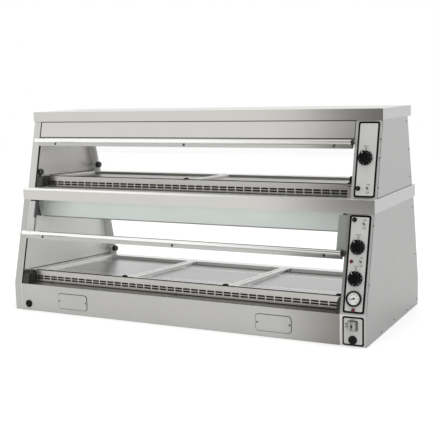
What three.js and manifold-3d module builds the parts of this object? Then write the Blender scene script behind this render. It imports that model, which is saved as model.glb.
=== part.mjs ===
// Heated chicken display case: two glazed, heated tiers in folded stainless sheet.
// The operator's side is the front (-Y), the customer's side is the rear (+Y), +Z is up.
// Lengths are in millimetres. The origin is the centre of the underside.
import * as THREE from "three";
import { mergeVertices } from "three/addons/utils/BufferGeometryUtils.js";
import Module from "manifold-3d";

const wasm = await Module();
wasm.setup();

// Sheet, seats and cuts
const SHEET = 1.5; // folded stainless sheet
const SEAT = 0.3; // gap between two pieces that rest on each other
const OVERRUN = 5; // how far a cutting solid runs past what it cuts
const WELD = 0.0001; // vertices closer than this are one vertex
const ARC_STEPS = 5; // straight steps in a quarter turn of an outline
const ROUND_STEPS = 28; // sides of a turned piece
const SMALL_STEPS = 14; // sides of a small turned piece

// Widths shared by both tiers
const BODY_WIDTH = 1458;
const CAP_OVERHANG = 1;
const CAP_RIM = 21; // turned-in edge of a cap
const WALL_WIDTH = 32; // left side, double skinned
const HOUSING_WIDTH = 93; // right side, behind the controls
const LEFT = -BODY_WIDTH / 2;
const RIGHT = BODY_WIDTH / 2;
const BAY_LEFT = LEFT + WALL_WIDTH;
const BAY_RIGHT = RIGHT - HOUSING_WIDTH;
const BAY_WIDTH = BAY_RIGHT - BAY_LEFT;

// Glass and the channels that hold it
const GLASS = 6;
const CHANNEL_WIDTH = 30;
const CHANNEL_LIP = 3;
const CHANNEL_INSET = 1; // front face of a channel behind the face of the side

// Front rail: a tube over a flat strip
const RAIL_RADIUS = 8.5;
const RAIL_OVERLAP = 13; // how far the tube runs over the left side's face
const RAIL_STRIP_HEIGHT = 21;
const RAIL_STRIP_OUT = 1; // strip's back ahead of the face
const RAIL_SEAT_DEPTH = 14; // ledge behind the strip
const RAIL_NUT_RADIUS = 10.5;
const RAIL_NUT_WIDTH = 8;

// Slotted air strip under the front edge of each deck
const STRIP_HEIGHT = 40;
const STRIP_LIP = 6;
const SLOT_LENGTH = 27;
const SLOT_HEIGHT = 5;
const SLOT_PITCH = 33.4;
const SLOT_ROW_TOP = 23; // upper row's middle below the strip's top edge
const SLOT_ROW_PITCH = 9;
const STRIP_FOOT_WIDTH = 12;
const STRIP_FOOT_FRONT = 3; // foot's front ahead of the strip's face
const STRIP_FOOT_SHARES = [0.06, 0.5, 0.95]; // along the strip

// Black blocks at the ends of the strips, each with a bracket that holds a round knob
const END_BLOCK_WIDTHS = { left: 32, right: 14 };
const END_BLOCK_HEIGHT = 42;
const END_BLOCK_BEHIND = 4; // block's front behind the face of the side
const END_BLOCK_LEAN = 16; // block's top rear edge ahead of its foot's
const BRACKET = 3;
const KNOB_RADIUS = 13;
const KNOB_EDGE = 2.5;
const KNOB_NECK_RADIUS = 5;
const FRONT_KNOB_LENGTH = 13;
const FRONT_KNOB_BEHIND = 21; // knob's middle behind the face of the side
const REAR_KNOB_LENGTH = 26;
const REAR_KNOB_RISE = 15; // knob's underside above the deck's rear edge
const KNOB_CLEARANCE = 1.5; // between a rear knob and the glass channel behind it

// Pans: a shallow pressed tray with a flat rim, a wider front flange and a finger notch
const PAN_SHEET = 1.2;
const PAN_RIM = 15;
const PAN_RIM_CORNER = 6;
const PAN_CORNER = 18;
const PAN_DRAFT = 4;
const PAN_GAP = 1.6; // between two neighbouring rims
const PAN_FRONT_FLANGE = 24;
const NOTCH_RADIUS = 11;
const NOTCH_FROM_EDGE = 20;
const FLOOR_SLOT_LENGTH = 14;
const FLOOR_SLOT_WIDTH = 4;
const FLOOR_SLOT_PITCH = 22;
const FLOOR_SLOT_ROW_SHARES = [-0.29, 0.27]; // of the floor's depth, from its middle

// The field of the pans between the deck's side ledges
const LEDGE_LEFT = 35;
const LEDGE_RIGHT = 5;
const DIVIDER_WEB = 3;
const DIVIDER_FLANGE = 14;
const RIM_SEAT = 11; // step round the deck's well that the rims of the pans rest on

// Heat lamps under the canopies
const LAMP_RADIUS = 6;
const LAMP_HOLDER_WIDTH = 26;
const LAMP_HOLDER_DEPTH = 22;
const LAMP_HOLDER_HEIGHT = 20;
const LAMP_END_GAP = 60; // from the bay's side to the holder
const CANOPY_LIP = 8;
const CANOPY_SEAT = 12; // how far a cap's turned-in ends reach over the canopy

// Control panels
const PLATE = 1.5;
const PLATE_CORNER = 7;
const PLATE_FROM_BAY = 10; // plate's left edge right of the bay
const PLATE_FROM_EDGE = 9; // plate's right edge left of the outer skin
const PLATE_WIDTH = HOUSING_WIDTH - PLATE_FROM_BAY - PLATE_FROM_EDGE;
const DIAL_RADIUS = 25.5;
const DIAL_SKIRT = 6;
const DIAL_GRIP_RADIUS = 19;
const DIAL_HEIGHT = 20;
const DIAL_RIDGE_WIDTH = 9;
const DIAL_EDGE = 1.5;
const DIAL_TURN = THREE.MathUtils.degToRad(25); // ridge left of the index at rest
const FUSE_RADIUS = 8;
const FUSE_HEIGHT = 9;
const FUSE_SLOT_WIDTH = 1.6;
const FUSE_SLOT_DEPTH = 1.5;
const PILOT_RADIUS = 6.5;
const PILOT_HEIGHT = 5;
const PILOT_RIM = 1.2;
const PILOT_DOME_SHARES = [[0.85, 0.75], [0.5, 0.95]]; // of the lens's radius and of the lamp's height
const TOGGLE_NUT_RADIUS = 6.6;
const TOGGLE_NUT_HEIGHT = 2;
const TOGGLE_BUSH_RADIUS = 4.8;
const TOGGLE_BUSH_BORE = 3.2;
const TOGGLE_BUSH_HEIGHT = 5;
const TOGGLE_LENGTH = 15;
const TOGGLE_ROOT_RADIUS = 1.4;
const TOGGLE_TIP_RADIUS = 2.6;
const TOGGLE_BALL_SHARE = 0.8; // of the ball's radius, where it rounds off
const TOGGLE_TIP_SHARE = 0.7; // of the tip's radius, at the very end
const TOGGLE_TILT = THREE.MathUtils.degToRad(12);
const GAUGE_RADIUS = 26.5;
const GAUGE_RIM = 5;
const GAUGE_HEIGHT = 9;
const GAUGE_DISH = 5; // dial face below the rim
const NEEDLE_LENGTH = 16;
const NEEDLE_TAIL = 6;
const NEEDLE_WIDTH = 2;
const NEEDLE_THICKNESS = 0.8;
const NEEDLE_HUB_RADIUS = 3;
const NEEDLE_HUB_HEIGHT = 2.5;
const NEEDLE_TURN = THREE.MathUtils.degToRad(106); // left of upright at rest
const ISOLATOR_RADIUS = 12;
const ISOLATOR_BASE = 4;
const ISOLATOR_WIDTH = 23;
const ISOLATOR_LENGTH = 27;
const ISOLATOR_HEIGHT = 15;
const ISOLATOR_GROOVE = 9;
const ISOLATOR_FLOOR = 7; // groove's floor above the plate
const ISOLATOR_BOLT_RADIUS = 3;
const PLUG_RADIUS = 15;
const PLUG_HEIGHT = 4;
const PLUG_SHANK_RADIUS = 11;
const PLUG_SHANK_LENGTH = 8;

// Access plates on the plinth
const ACCESS_WIDTH = 133;
const ACCESS_HEIGHT = 58;
const ACCESS_CORNER = 12;
const ACCESS_BORDER = 12; // plate over the edge of its cut-out
const ACCESS_BOTTOM = 21;
const ACCESS_LEFT_SHARES = [0.135, 0.7697]; // plates' left edges along the bay
const PLUG_FROM_BAY = 33;
const PLUG_Z = 26;

// Heater loop under the lower deck
const ELEMENT_RADIUS = 4.25;
const ELEMENT_TURNS = 4;
const ELEMENT_SIDES = 8;
const ELEMENT_SIDE_GAP = 90;
const ELEMENT_END_GAP = 60;
const ELEMENT_BEND_STEPS = 8;

// Plinth ledges that carry the deck's front and the rear glass
const LEDGE_DEPTH = 64;
const LEDGE_DROP = 12;
const REAR_LEDGE_DEPTH = 44;

// Lower tier, measured from the plinth's front face
const lower = {
  name: "lower",
  front: 0,
  depth: 646,
  floor: 0,
  plinth: 106, // height of the upright part of the sides
  top: 431, // underside of the cap
  frontSetback: 86,
  rearSetback: 73,
  capFrontOver: 2, // cap ahead of the sides at the top
  capRearOver: 15,
  capHeight: 47,
  deckBehind: 50, // deck's front edge behind the side's front
  deckAhead: 19.1, // deck's rear edge ahead of the side's rear
  deckRise: 47, // deck's front edge above what the air strip stands on
  deckTilt: THREE.MathUtils.degToRad(3.59),
  deckLedge: 42, // flat ledge behind the pans
  knobRise: 38, // front knobs above what the end blocks stand on
  pans: 3,
  panDepth: 14,
  wellDepth: 38, // warm air passes between the pans and the deck's floor
  railDrop: 129, // middle of the rail's tube below the cap
  canopyInset: 44, // canopy's front behind the sides at the top
  canopyRearInset: 103,
  canopyHeight: 64,
  canopyEnd: CHANNEL_WIDTH, // the canopy fits between the glass channels
  plateFoot: 6, // control plate above the knee of the side
  plateHead: 4, // control plate below the cap
};

const UPPER_BEHIND = 117; // upper tier's front behind the lower tier's
const UPPER_AHEAD = 94; // upper tier's rear ahead of the lower tier's
const UPPER_HEIGHT = 259;
const LOWER_CAP_TOP = lower.top + lower.capHeight;

// Upper tier, standing on the lower cap; its canopy closes the front
const upper = {
  name: "upper",
  front: lower.front + UPPER_BEHIND,
  depth: lower.depth - UPPER_BEHIND - UPPER_AHEAD,
  floor: LOWER_CAP_TOP + SEAT,
  plinth: 0,
  top: LOWER_CAP_TOP + UPPER_HEIGHT,
  frontSetback: 65,
  rearSetback: 69,
  capFrontOver: 5,
  capRearOver: 42,
  capHeight: 39,
  deckBehind: 53,
  deckAhead: 24.2,
  deckRise: STRIP_HEIGHT + SEAT,
  deckTilt: THREE.MathUtils.degToRad(1.84),
  deckLedge: 40,
  knobRise: 58.5,
  pans: 2,
  panDepth: 10,
  wellDepth: 20,
  railDrop: 75,
  canopyInset: 0,
  canopyRearInset: 53,
  canopyHeight: 59,
  canopyEnd: 0,
  plateFoot: 3.7,
  plateHead: 5,
};

// Controls of a plate: rows from the bottom up, and places across the plate as shares of its width.
// A row has a height, and the gap under it as a share of the plate's free height.
const PAIR_SHIFT = 7; // the fuse above and the toggle below the middle of a paired row
const MAIN_ROWS = {
  low: { height: 2 * PILOT_RADIUS, gapShare: 0.034 },
  gauge: { height: 2 * GAUGE_RADIUS, gapShare: 0.039 },
  second: { height: 2 * DIAL_RADIUS, gapShare: 0.127 },
  middle: { height: TOGGLE_LENGTH, gapShare: 0.206 },
  first: { height: 2 * DIAL_RADIUS, gapShare: 0.137 },
  high: { height: 2 * (PAIR_SHIFT + FUSE_RADIUS), gapShare: 0.387 },
};
const MAIN_CONTROLS = {
  fuse: { acrossShare: 0.23, row: "high", shift: PAIR_SHIFT },
  toggles: [
    { acrossShare: 0.703, row: "high", shift: -PAIR_SHIFT },
    { acrossShare: 0.689, row: "middle" },
  ],
  dials: [{ acrossShare: 0.473, row: "first" }, { acrossShare: 0.473, row: "second" }],
  pilots: [{ acrossShare: 0.23, row: "middle" }, { acrossShare: 0.49, row: "low" }],
  gauge: { acrossShare: 0.49, row: "gauge" },
};
const UPPER_ROWS = {
  low: { height: 2 * FUSE_RADIUS, gapShare: 0.115 },
  first: { height: 2 * DIAL_RADIUS, gapShare: 0.369 },
};
const UPPER_CONTROLS = {
  fuse: { acrossShare: 0.189, row: "low" },
  toggles: [{ acrossShare: 0.649, row: "low" }],
  dials: [{ acrossShare: 0.432, row: "first" }],
};
const ISOLATOR_FOOT = 3; // isolator plate above the case's underside
const ISOLATOR_HEAD = 5; // and below the knee
const ISOLATOR_ROWS = {
  plug: { height: 2 * PLUG_RADIUS, gapShare: 0.11 },
  lever: { height: ISOLATOR_LENGTH, gapShare: 0.49 },
};
const ISOLATOR_ACROSS_SHARE = 0.486;

// Solids and meshes

function toSolid(geometry) {
  const bare = geometry.index ? geometry.toNonIndexed() : geometry.clone();
  bare.deleteAttribute("normal");
  bare.deleteAttribute("uv");
  const merged = mergeVertices(bare, WELD);
  return new wasm.Manifold(
    new wasm.Mesh({
      numProp: 3,
      vertProperties: merged.attributes.position.array,
      triVerts: new Uint32Array(merged.index.array),
    }),
  );
}

function toGeometry(body) {
  const mesh = body.getMesh();
  const geometry = new THREE.BufferGeometry();
  geometry.setAttribute("position", new THREE.BufferAttribute(mesh.vertProperties, 3));
  geometry.setIndex(new THREE.BufferAttribute(mesh.triVerts, 1));
  geometry.computeVertexNormals();
  return geometry;
}

function join(...geometries) {
  return toGeometry(geometries.map(toSolid).reduce((a, b) => a.add(b)));
}

function cut(geometry, ...tools) {
  return toGeometry(tools.map(toSolid).reduce((a, b) => a.subtract(b), toSolid(geometry)));
}

// Finishes

function metal(color, roughness) {
  return new THREE.MeshStandardMaterial({ color, roughness, metalness: 1 });
}

function plastic(color, roughness) {
  return new THREE.MeshStandardMaterial({ color, roughness, metalness: 0 });
}

const FINISH = {
  steel: () => metal(0xc9c7c3, 0.32),
  pan: () => metal(0xbfc1c0, 0.25),
  polished: () => metal(0xe8e8e6, 0.12),
  plate: () => plastic(0xdadad6, 0.45),
  black: () => plastic(0x16161a, 0.4),
  dark: () => metal(0x4a4744, 0.5),
  red: () => plastic(0x8a1024, 0.25),
  grey: () => plastic(0x8d8c88, 0.5),
  dial: () => plastic(0xf2f1ee, 0.4),
  lamp: () => plastic(0xf4ead8, 0.2),
  glass: () => new THREE.MeshStandardMaterial({
    color: 0xdff0ea, roughness: 0.05, metalness: 0, transparent: true, opacity: 0.3,
  }),
};

function piece(name, geometry, finish) {
  const mesh = new THREE.Mesh(geometry, FINISH[finish]());
  mesh.name = name;
  return mesh;
}

// Outlines and extrusions

function outline(points) {
  return new THREE.Shape(points.map(([u, v]) => new THREE.Vector2(u, v)));
}

// Corners of a rounded rectangle, anticlockwise from the lower right
function roundedCorners(u0, v0, u1, v1, radius, steps = ARC_STEPS) {
  const centres = [
    [u1 - radius, v0 + radius], [u1 - radius, v1 - radius],
    [u0 + radius, v1 - radius], [u0 + radius, v0 + radius],
  ];
  return centres.flatMap(([u, v], corner) => Array.from({ length: steps + 1 }, (_, i) => {
    const turn = ((corner - 1 + i / steps) * Math.PI) / 2;
    return [u + radius * Math.cos(turn), v + radius * Math.sin(turn)];
  }));
}

function roundedOutline(u0, v0, u1, v1, radius, steps) {
  return outline(roundedCorners(u0, v0, u1, v1, radius, steps));
}

function extrude(shape, depth) {
  return new THREE.ExtrudeGeometry(shape, { depth, bevelEnabled: false });
}

// An outline in Y and Z, drawn out along X
function alongX(points, x0, x1) {
  const turn = new THREE.Matrix4().makeBasis(
    new THREE.Vector3(0, 1, 0), new THREE.Vector3(0, 0, 1), new THREE.Vector3(1, 0, 0));
  return extrude(outline(points), x1 - x0).applyMatrix4(turn).translate(x0, 0, 0);
}

// A shape in X and Z, drawn out along Y
function alongY(shape, y0, y1) {
  return extrude(shape, y1 - y0).rotateX(Math.PI / 2).translate(0, y1, 0);
}

function block(x0, x1, y0, y1, z0, z1) {
  return new THREE.BoxGeometry(x1 - x0, y1 - y0, z1 - z0)
    .translate((x0 + x1) / 2, (y0 + y1) / 2, (z0 + z1) / 2);
}

// A turned piece whose axis points out of the front (-Y), from [radius, height] pairs
function turned(profile, steps = ROUND_STEPS) {
  const points = profile.map(([radius, height]) => new THREE.Vector2(radius, height));
  return new THREE.LatheGeometry(points, steps).rotateX(Math.PI);
}

// A folded sheet: the band of one thickness on the left of an open line of points
function foldedSheet(line, thickness) {
  const offset = line.map((point, i) => {
    const before = line[Math.max(i - 1, 0)];
    const after = line[Math.min(i + 1, line.length - 1)];
    const first = new THREE.Vector2(point[0] - before[0], point[1] - before[1]).normalize();
    const second = new THREE.Vector2(after[0] - point[0], after[1] - point[1]).normalize();
    if (i === 0) first.copy(second);
    if (i === line.length - 1) second.copy(first);
    const bisector = new THREE.Vector2(-first.y - second.y, first.x + second.x).normalize();
    const reach = thickness / Math.max(-first.y * bisector.x + first.x * bisector.y, WELD);
    return [point[0] + bisector.x * reach, point[1] + bisector.y * reach];
  });
  return [...line, ...offset.reverse()];
}

// Frames that lie on the sloping faces and on the deck

function slopeFrame(y, z, angle) {
  const frame = new THREE.Group();
  frame.position.set(0, y, z);
  frame.rotation.x = angle;
  frame.updateMatrix();
  return frame;
}

function slopes(tier) {
  const kneeZ = tier.floor + tier.plinth;
  const rise = tier.top - kneeZ;
  const frontAngle = Math.atan2(tier.frontSetback, rise);
  const rearAngle = Math.atan2(tier.rearSetback, rise);
  return {
    kneeZ,
    rise,
    frontLength: Math.hypot(rise, tier.frontSetback),
    rearLength: Math.hypot(rise, tier.rearSetback),
    frontScale: Math.hypot(rise, tier.frontSetback) / rise,
    rearAngle,
    front: () => slopeFrame(tier.front, kneeZ, -frontAngle),
    rear: () => slopeFrame(tier.front + tier.depth, kneeZ, rearAngle),
    deck: () => slopeFrame(deckFront(tier), deckTop(tier), -tier.deckTilt),
  };
}

// Distance up the front slope of a height above the floor
function upSlope(tier, z) {
  const s = slopes(tier);
  return (z - s.kneeZ) * s.frontScale;
}

// Front face of the sides at a height
function frontAt(tier, z) {
  const s = slopes(tier);
  return tier.front + Math.max(0, (z - s.kneeZ) / s.rise) * tier.frontSetback;
}

// Rear face of the sides at a height
function rearAt(tier, z) {
  const s = slopes(tier);
  return tier.front + tier.depth - Math.max(0, (z - s.kneeZ) / s.rise) * tier.rearSetback;
}

// What the air strip and the end blocks stand on
function standTop(tier) {
  return tier === lower ? tier.plinth : LOWER_CAP_TOP;
}

function deckFront(tier) {
  return tier.front + tier.deckBehind;
}

function deckTop(tier) {
  return standTop(tier) + tier.deckRise;
}

// Length of the deck along its slope
function deckLength(tier) {
  return (tier.depth - tier.deckBehind - tier.deckAhead) / Math.cos(tier.deckTilt);
}

// Outline in Y and Z between the two faces of the sides, each moved by a shift, from one height to another
function sideSlice(tier, frontShift, rearShift, bottom, top) {
  const heights = [bottom, tier.floor + tier.plinth, top].filter((z, i, all) => !i || z > all[i - 1]);
  const front = heights.map((z) => [frontAt(tier, z) + frontShift, z]);
  const rear = heights.map((z) => [rearAt(tier, z) + rearShift, z]);
  return [...front, ...rear.reverse()];
}

// The whole side as a solid from one X to another
function sideSlab(tier, x0, x1) {
  return alongX(sideSlice(tier, 0, 0, tier.floor, tier.top), x0, x1);
}

// Sides

// A U channel that opens along X towards the glass, in a slope's frame
function glassChannel(wallX, inward, y0, z0, z1) {
  const open = wallX + inward * CHANNEL_WIDTH;
  const root = wallX - (inward * SHEET) / 2;
  const web = wallX + inward * CHANNEL_LIP;
  const y1 = y0 + channelDepth();
  const body = block(Math.min(root, open), Math.max(root, open), y0, y1, z0, z1);
  const slot = block(Math.min(web, open + inward * OVERRUN), Math.max(web, open + inward * OVERRUN),
    y0 + CHANNEL_LIP, y1 - CHANNEL_LIP, z0 - OVERRUN, z1 + OVERRUN);
  return cut(body, slot);
}

function channelDepth() {
  return GLASS + 2 * SEAT + 2 * CHANNEL_LIP;
}

// Where the front glass stands, measured up the front slope
function frontGlassFoot(tier) {
  return upSlope(tier, tier.top - tier.railDrop) - RAIL_RADIUS - SHEET;
}

// The glass channels of one side, in the case's frame
function sideChannels(tier, wallX, inward) {
  const s = slopes(tier);
  const rear = glassChannel(wallX, inward, -CHANNEL_INSET - channelDepth(), rearGlassFoot(tier),
    s.rearLength - OVERRUN).applyMatrix4(s.rear().matrix);
  if (tier !== lower) return [rear];
  return [rear, glassChannel(wallX, inward, CHANNEL_INSET, frontGlassFoot(tier),
    s.frontLength - OVERRUN).applyMatrix4(s.front().matrix)];
}

// Where the rear glass and its channels stand, measured up the rear slope: clear of what they stand on
function rearGlassFoot(tier) {
  const angle = slopes(tier).rearAngle;
  return (SEAT + (CHANNEL_INSET + channelDepth()) * Math.sin(angle)) / Math.cos(angle);
}

// Double-skinned side, hollow and open underneath
function leftWall(tier) {
  const hollow = alongX(sideSlice(tier, SHEET, -SHEET, tier.floor - OVERRUN, tier.top - SHEET),
    LEFT + SHEET, BAY_LEFT - SHEET);
  const shell = cut(sideSlab(tier, LEFT, BAY_LEFT), hollow);
  return piece(`${tier.name}_left_wall`, join(shell, ...sideChannels(tier, BAY_LEFT, 1)), "steel");
}

// Inner skin of the right side and the fascia that carries the controls
function controlHousing(tier) {
  const open = alongX(sideSlice(tier, SHEET, OVERRUN, tier.floor - OVERRUN, tier.top + OVERRUN),
    BAY_RIGHT + SHEET, RIGHT);
  const shell = cut(sideSlab(tier, BAY_RIGHT, RIGHT - SHEET - SEAT), open);
  return piece(`${tier.name}_control_housing`, join(shell, ...sideChannels(tier, BAY_RIGHT, -1)), "steel");
}

// Outer skin of the right side, with flanges that close the housing at the top and the rear
function rightCover(tier) {
  const below = tier.floor - OVERRUN;
  const knee = tier.floor + tier.plinth;
  const above = tier.top + OVERRUN;
  const under = tier.top - SHEET;
  const flangeStart = frontAt(tier, above) + SHEET + SEAT;
  const open = alongX([
    ...[below, knee, above].map((z) => [frontAt(tier, z) - OVERRUN, z]),
    [flangeStart, above], [flangeStart, under],
    ...[under, knee, below].map((z) => [rearAt(tier, z) - SHEET, z]),
  ], BAY_RIGHT, RIGHT - SHEET);
  const shell = cut(sideSlab(tier, BAY_RIGHT + SHEET + SEAT, RIGHT), open);
  return piece(`${tier.name}_right_cover`, shell, "steel");
}

// Caps, canopies and lamps

function cap(tier) {
  const x0 = LEFT - CAP_OVERHANG;
  const x1 = RIGHT + CAP_OVERHANG;
  const y0 = frontAt(tier, tier.top) - tier.capFrontOver;
  const y1 = rearAt(tier, tier.top) + tier.capRearOver;
  const z0 = tier.top + SEAT;
  const z1 = tier.top + tier.capHeight;
  const end = tier.canopyEnd + CANOPY_SEAT;
  const shell = cut(
    block(x0, x1, y0, y1, z0, z1),
    block(x0 + SHEET, x1 - SHEET, y0 + SHEET, y1 - SHEET, z0 + SHEET, z1 - SHEET),
    block(BAY_LEFT + end, BAY_RIGHT - end, y0 + CAP_RIM, y1 - CAP_RIM, z0 - OVERRUN, z0 + OVERRUN),
  );
  return piece(`${tier.name}_cap`, shell, "steel");
}

// Front of a canopy at a height: upright where it is set in, or along the slope of the sides
function canopyFrontAt(tier, z) {
  return tier.canopyInset ? frontAt(tier, tier.top) + tier.canopyInset : frontAt(tier, z) + SEAT;
}

function canopyRear(tier) {
  return rearAt(tier, tier.top) - tier.canopyRearInset;
}

// Folded housing of the heat lamps, open on top, with a lip along each lower edge
function canopy(tier) {
  const low = tier.top - tier.canopyHeight;
  const high = tier.top;
  const rear = canopyRear(tier);
  const x0 = BAY_LEFT + tier.canopyEnd + SEAT;
  const x1 = BAY_RIGHT - tier.canopyEnd - SEAT;
  const front = (z, inset) => [canopyFrontAt(tier, z) + inset, z];
  const skin = alongX([
    front(high, 0), front(low - CANOPY_LIP, 0), front(low - CANOPY_LIP, SHEET), front(low, SHEET),
    [rear - SHEET, low], [rear - SHEET, low - CANOPY_LIP], [rear, low - CANOPY_LIP], [rear, high],
    [rear - SHEET, high], [rear - SHEET, low + SHEET], front(low + SHEET, SHEET), front(high, SHEET),
  ], x0, x1);
  const middle = SHEET / 2;
  const end = [
    front(high - middle, middle), front(low + middle, middle),
    [rear - middle, low + middle], [rear - middle, high - middle],
  ];
  const ends = [x0 + middle, x1 - middle - SHEET].map((x) => alongX(end, x, x + SHEET));
  const body = join(skin, ...ends);
  return piece(`${tier.name}_canopy`, body, "steel");
}

function heatLamp(tier) {
  const low = tier.top - tier.canopyHeight;
  const y = (canopyFrontAt(tier, low) + canopyRear(tier)) / 2;
  const z = low - SEAT - LAMP_HOLDER_HEIGHT / 2;
  const holder = (x) => block(x, x + LAMP_HOLDER_WIDTH, y - LAMP_HOLDER_DEPTH / 2,
    y + LAMP_HOLDER_DEPTH / 2, z - LAMP_HOLDER_HEIGHT / 2, z + LAMP_HOLDER_HEIGHT / 2);
  const x0 = BAY_LEFT + LAMP_END_GAP;
  const x1 = BAY_RIGHT - LAMP_END_GAP - LAMP_HOLDER_WIDTH;
  const tube = new THREE.CylinderGeometry(LAMP_RADIUS, LAMP_RADIUS, x1 - x0, SMALL_STEPS)
    .rotateZ(Math.PI / 2).translate((x0 + x1 + LAMP_HOLDER_WIDTH) / 2, y, z);
  return piece(`${tier.name}_heat_lamp`, join(holder(x0), holder(x1), tube), "lamp");
}

// Glass

function frontGlass(tier) {
  const s = slopes(tier);
  const y0 = CHANNEL_INSET + CHANNEL_LIP + SEAT;
  const pane = block(BAY_LEFT + CHANNEL_LIP + SEAT, BAY_RIGHT - CHANNEL_LIP - SEAT,
    y0, y0 + GLASS, frontGlassFoot(tier), s.frontLength - OVERRUN);
  const mesh = piece("front_glass", pane, "glass");
  return s.front().add(mesh);
}

function rearGlass(tier) {
  const s = slopes(tier);
  const y1 = -CHANNEL_INSET - CHANNEL_LIP - SEAT;
  const pane = block(BAY_LEFT + CHANNEL_LIP + SEAT, BAY_RIGHT - CHANNEL_LIP - SEAT,
    y1 - GLASS, y1, rearGlassFoot(tier), s.rearLength - OVERRUN);
  return s.rear().add(piece(`${tier.name}_rear_glass`, pane, "glass"));
}

// Rails

function rail(tier) {
  const s = slopes(tier);
  const z = upSlope(tier, tier.top - tier.railDrop);
  const y = -RAIL_RADIUS - SEAT;
  const x0 = BAY_LEFT - RAIL_OVERLAP;
  const x1 = BAY_RIGHT - SEAT;
  const end = x1 - RAIL_NUT_WIDTH / 2;
  const tube = new THREE.CylinderGeometry(RAIL_RADIUS, RAIL_RADIUS, end - x0, SMALL_STEPS)
    .rotateZ(Math.PI / 2).translate((x0 + end) / 2, y, z);
  const nut = new THREE.CylinderGeometry(RAIL_NUT_RADIUS, RAIL_NUT_RADIUS, RAIL_NUT_WIDTH, 6)
    .rotateZ(Math.PI / 2).translate(end, y, z);
  const back = -RAIL_STRIP_OUT;
  const seatTop = frontGlassFoot(tier) - SEAT;
  const strip = alongX([
    [back - SHEET, z - RAIL_STRIP_HEIGHT], [back, z - RAIL_STRIP_HEIGHT], [back, seatTop - SHEET],
    [RAIL_SEAT_DEPTH, seatTop - SHEET], [RAIL_SEAT_DEPTH, seatTop], [back, seatTop], [back, z],
    [back - SHEET, z],
  ], BAY_LEFT + SEAT, end);
  return s.front().add(piece(`${tier.name}_rail`, join(tube, nut, strip), "polished"));
}

// Decks

function panField() {
  return { left: BAY_LEFT + LEDGE_LEFT, right: BAY_RIGHT - LEDGE_RIGHT };
}

// Front edge of the deck behind the air strip's face: its well stays clear of the strip's foot
function deckStart(tier) {
  return STRIP_LIP + SEAT + (tier.wellDepth + SEAT + SHEET) * Math.tan(tier.deckTilt);
}

// A tray that carries the pans: ledges along the sides and the rear, a step for the rims and a well
function deck(tier) {
  const { left, right } = panField();
  const floorTop = -tier.wellDepth - SEAT;
  const bottom = floorTop - SHEET;
  const front = deckStart(tier);
  const length = deckLength(tier);
  const rear = length - tier.deckLedge;
  const x0 = BAY_LEFT + SEAT;
  const x1 = BAY_RIGHT - SEAT;
  const rims = block(left, right, front - OVERRUN, rear, -PAN_SHEET - SEAT, OVERRUN);
  const well = block(left + RIM_SEAT, right - RIM_SEAT, front - OVERRUN, rear - RIM_SEAT,
    floorTop, -PAN_SHEET);
  const under = extrude(outline([
    [x0 - OVERRUN, front - OVERRUN], [left - SHEET, front - OVERRUN], [left - SHEET, rear + SHEET],
    [right + SHEET, rear + SHEET], [right + SHEET, front - OVERRUN], [x1 + OVERRUN, front - OVERRUN],
    [x1 + OVERRUN, length + OVERRUN], [x0 - OVERRUN, length + OVERRUN],
  ]), -bottom).translate(0, 0, bottom - SHEET);
  const body = cut(block(x0, x1, front, length, bottom, 0), rims, well, under);
  return slopes(tier).deck().add(piece(`${tier.name}_deck`, body, "steel"));
}

// An outline in X and Z given as points, drawn out along Y
function alongXZ(points, y0, y1) {
  return alongY(outline(points), y0, y1);
}

function dividers(tier) {
  const { left, right } = panField();
  const pitch = (right - left) / tier.pans;
  return Array.from({ length: tier.pans - 1 }, (_, i) => {
    const x = left + pitch * (i + 1);
    const rear = deckLength(tier) - tier.deckLedge - RIM_SEAT - SEAT;
    const top = -PAN_SHEET - SEAT;
    const bar = alongXZ([
      [x - DIVIDER_WEB / 2, -tier.wellDepth], [x + DIVIDER_WEB / 2, -tier.wellDepth],
      [x + DIVIDER_WEB / 2, top - SHEET], [x + DIVIDER_FLANGE / 2, top - SHEET],
      [x + DIVIDER_FLANGE / 2, top], [x - DIVIDER_FLANGE / 2, top],
      [x - DIVIDER_FLANGE / 2, top - SHEET], [x - DIVIDER_WEB / 2, top - SHEET],
    ], deckStart(tier), rear);
    return slopes(tier).deck().add(piece(`${tier.name}_pan_bar_${i + 1}`, bar, "steel"));
  });
}

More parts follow.
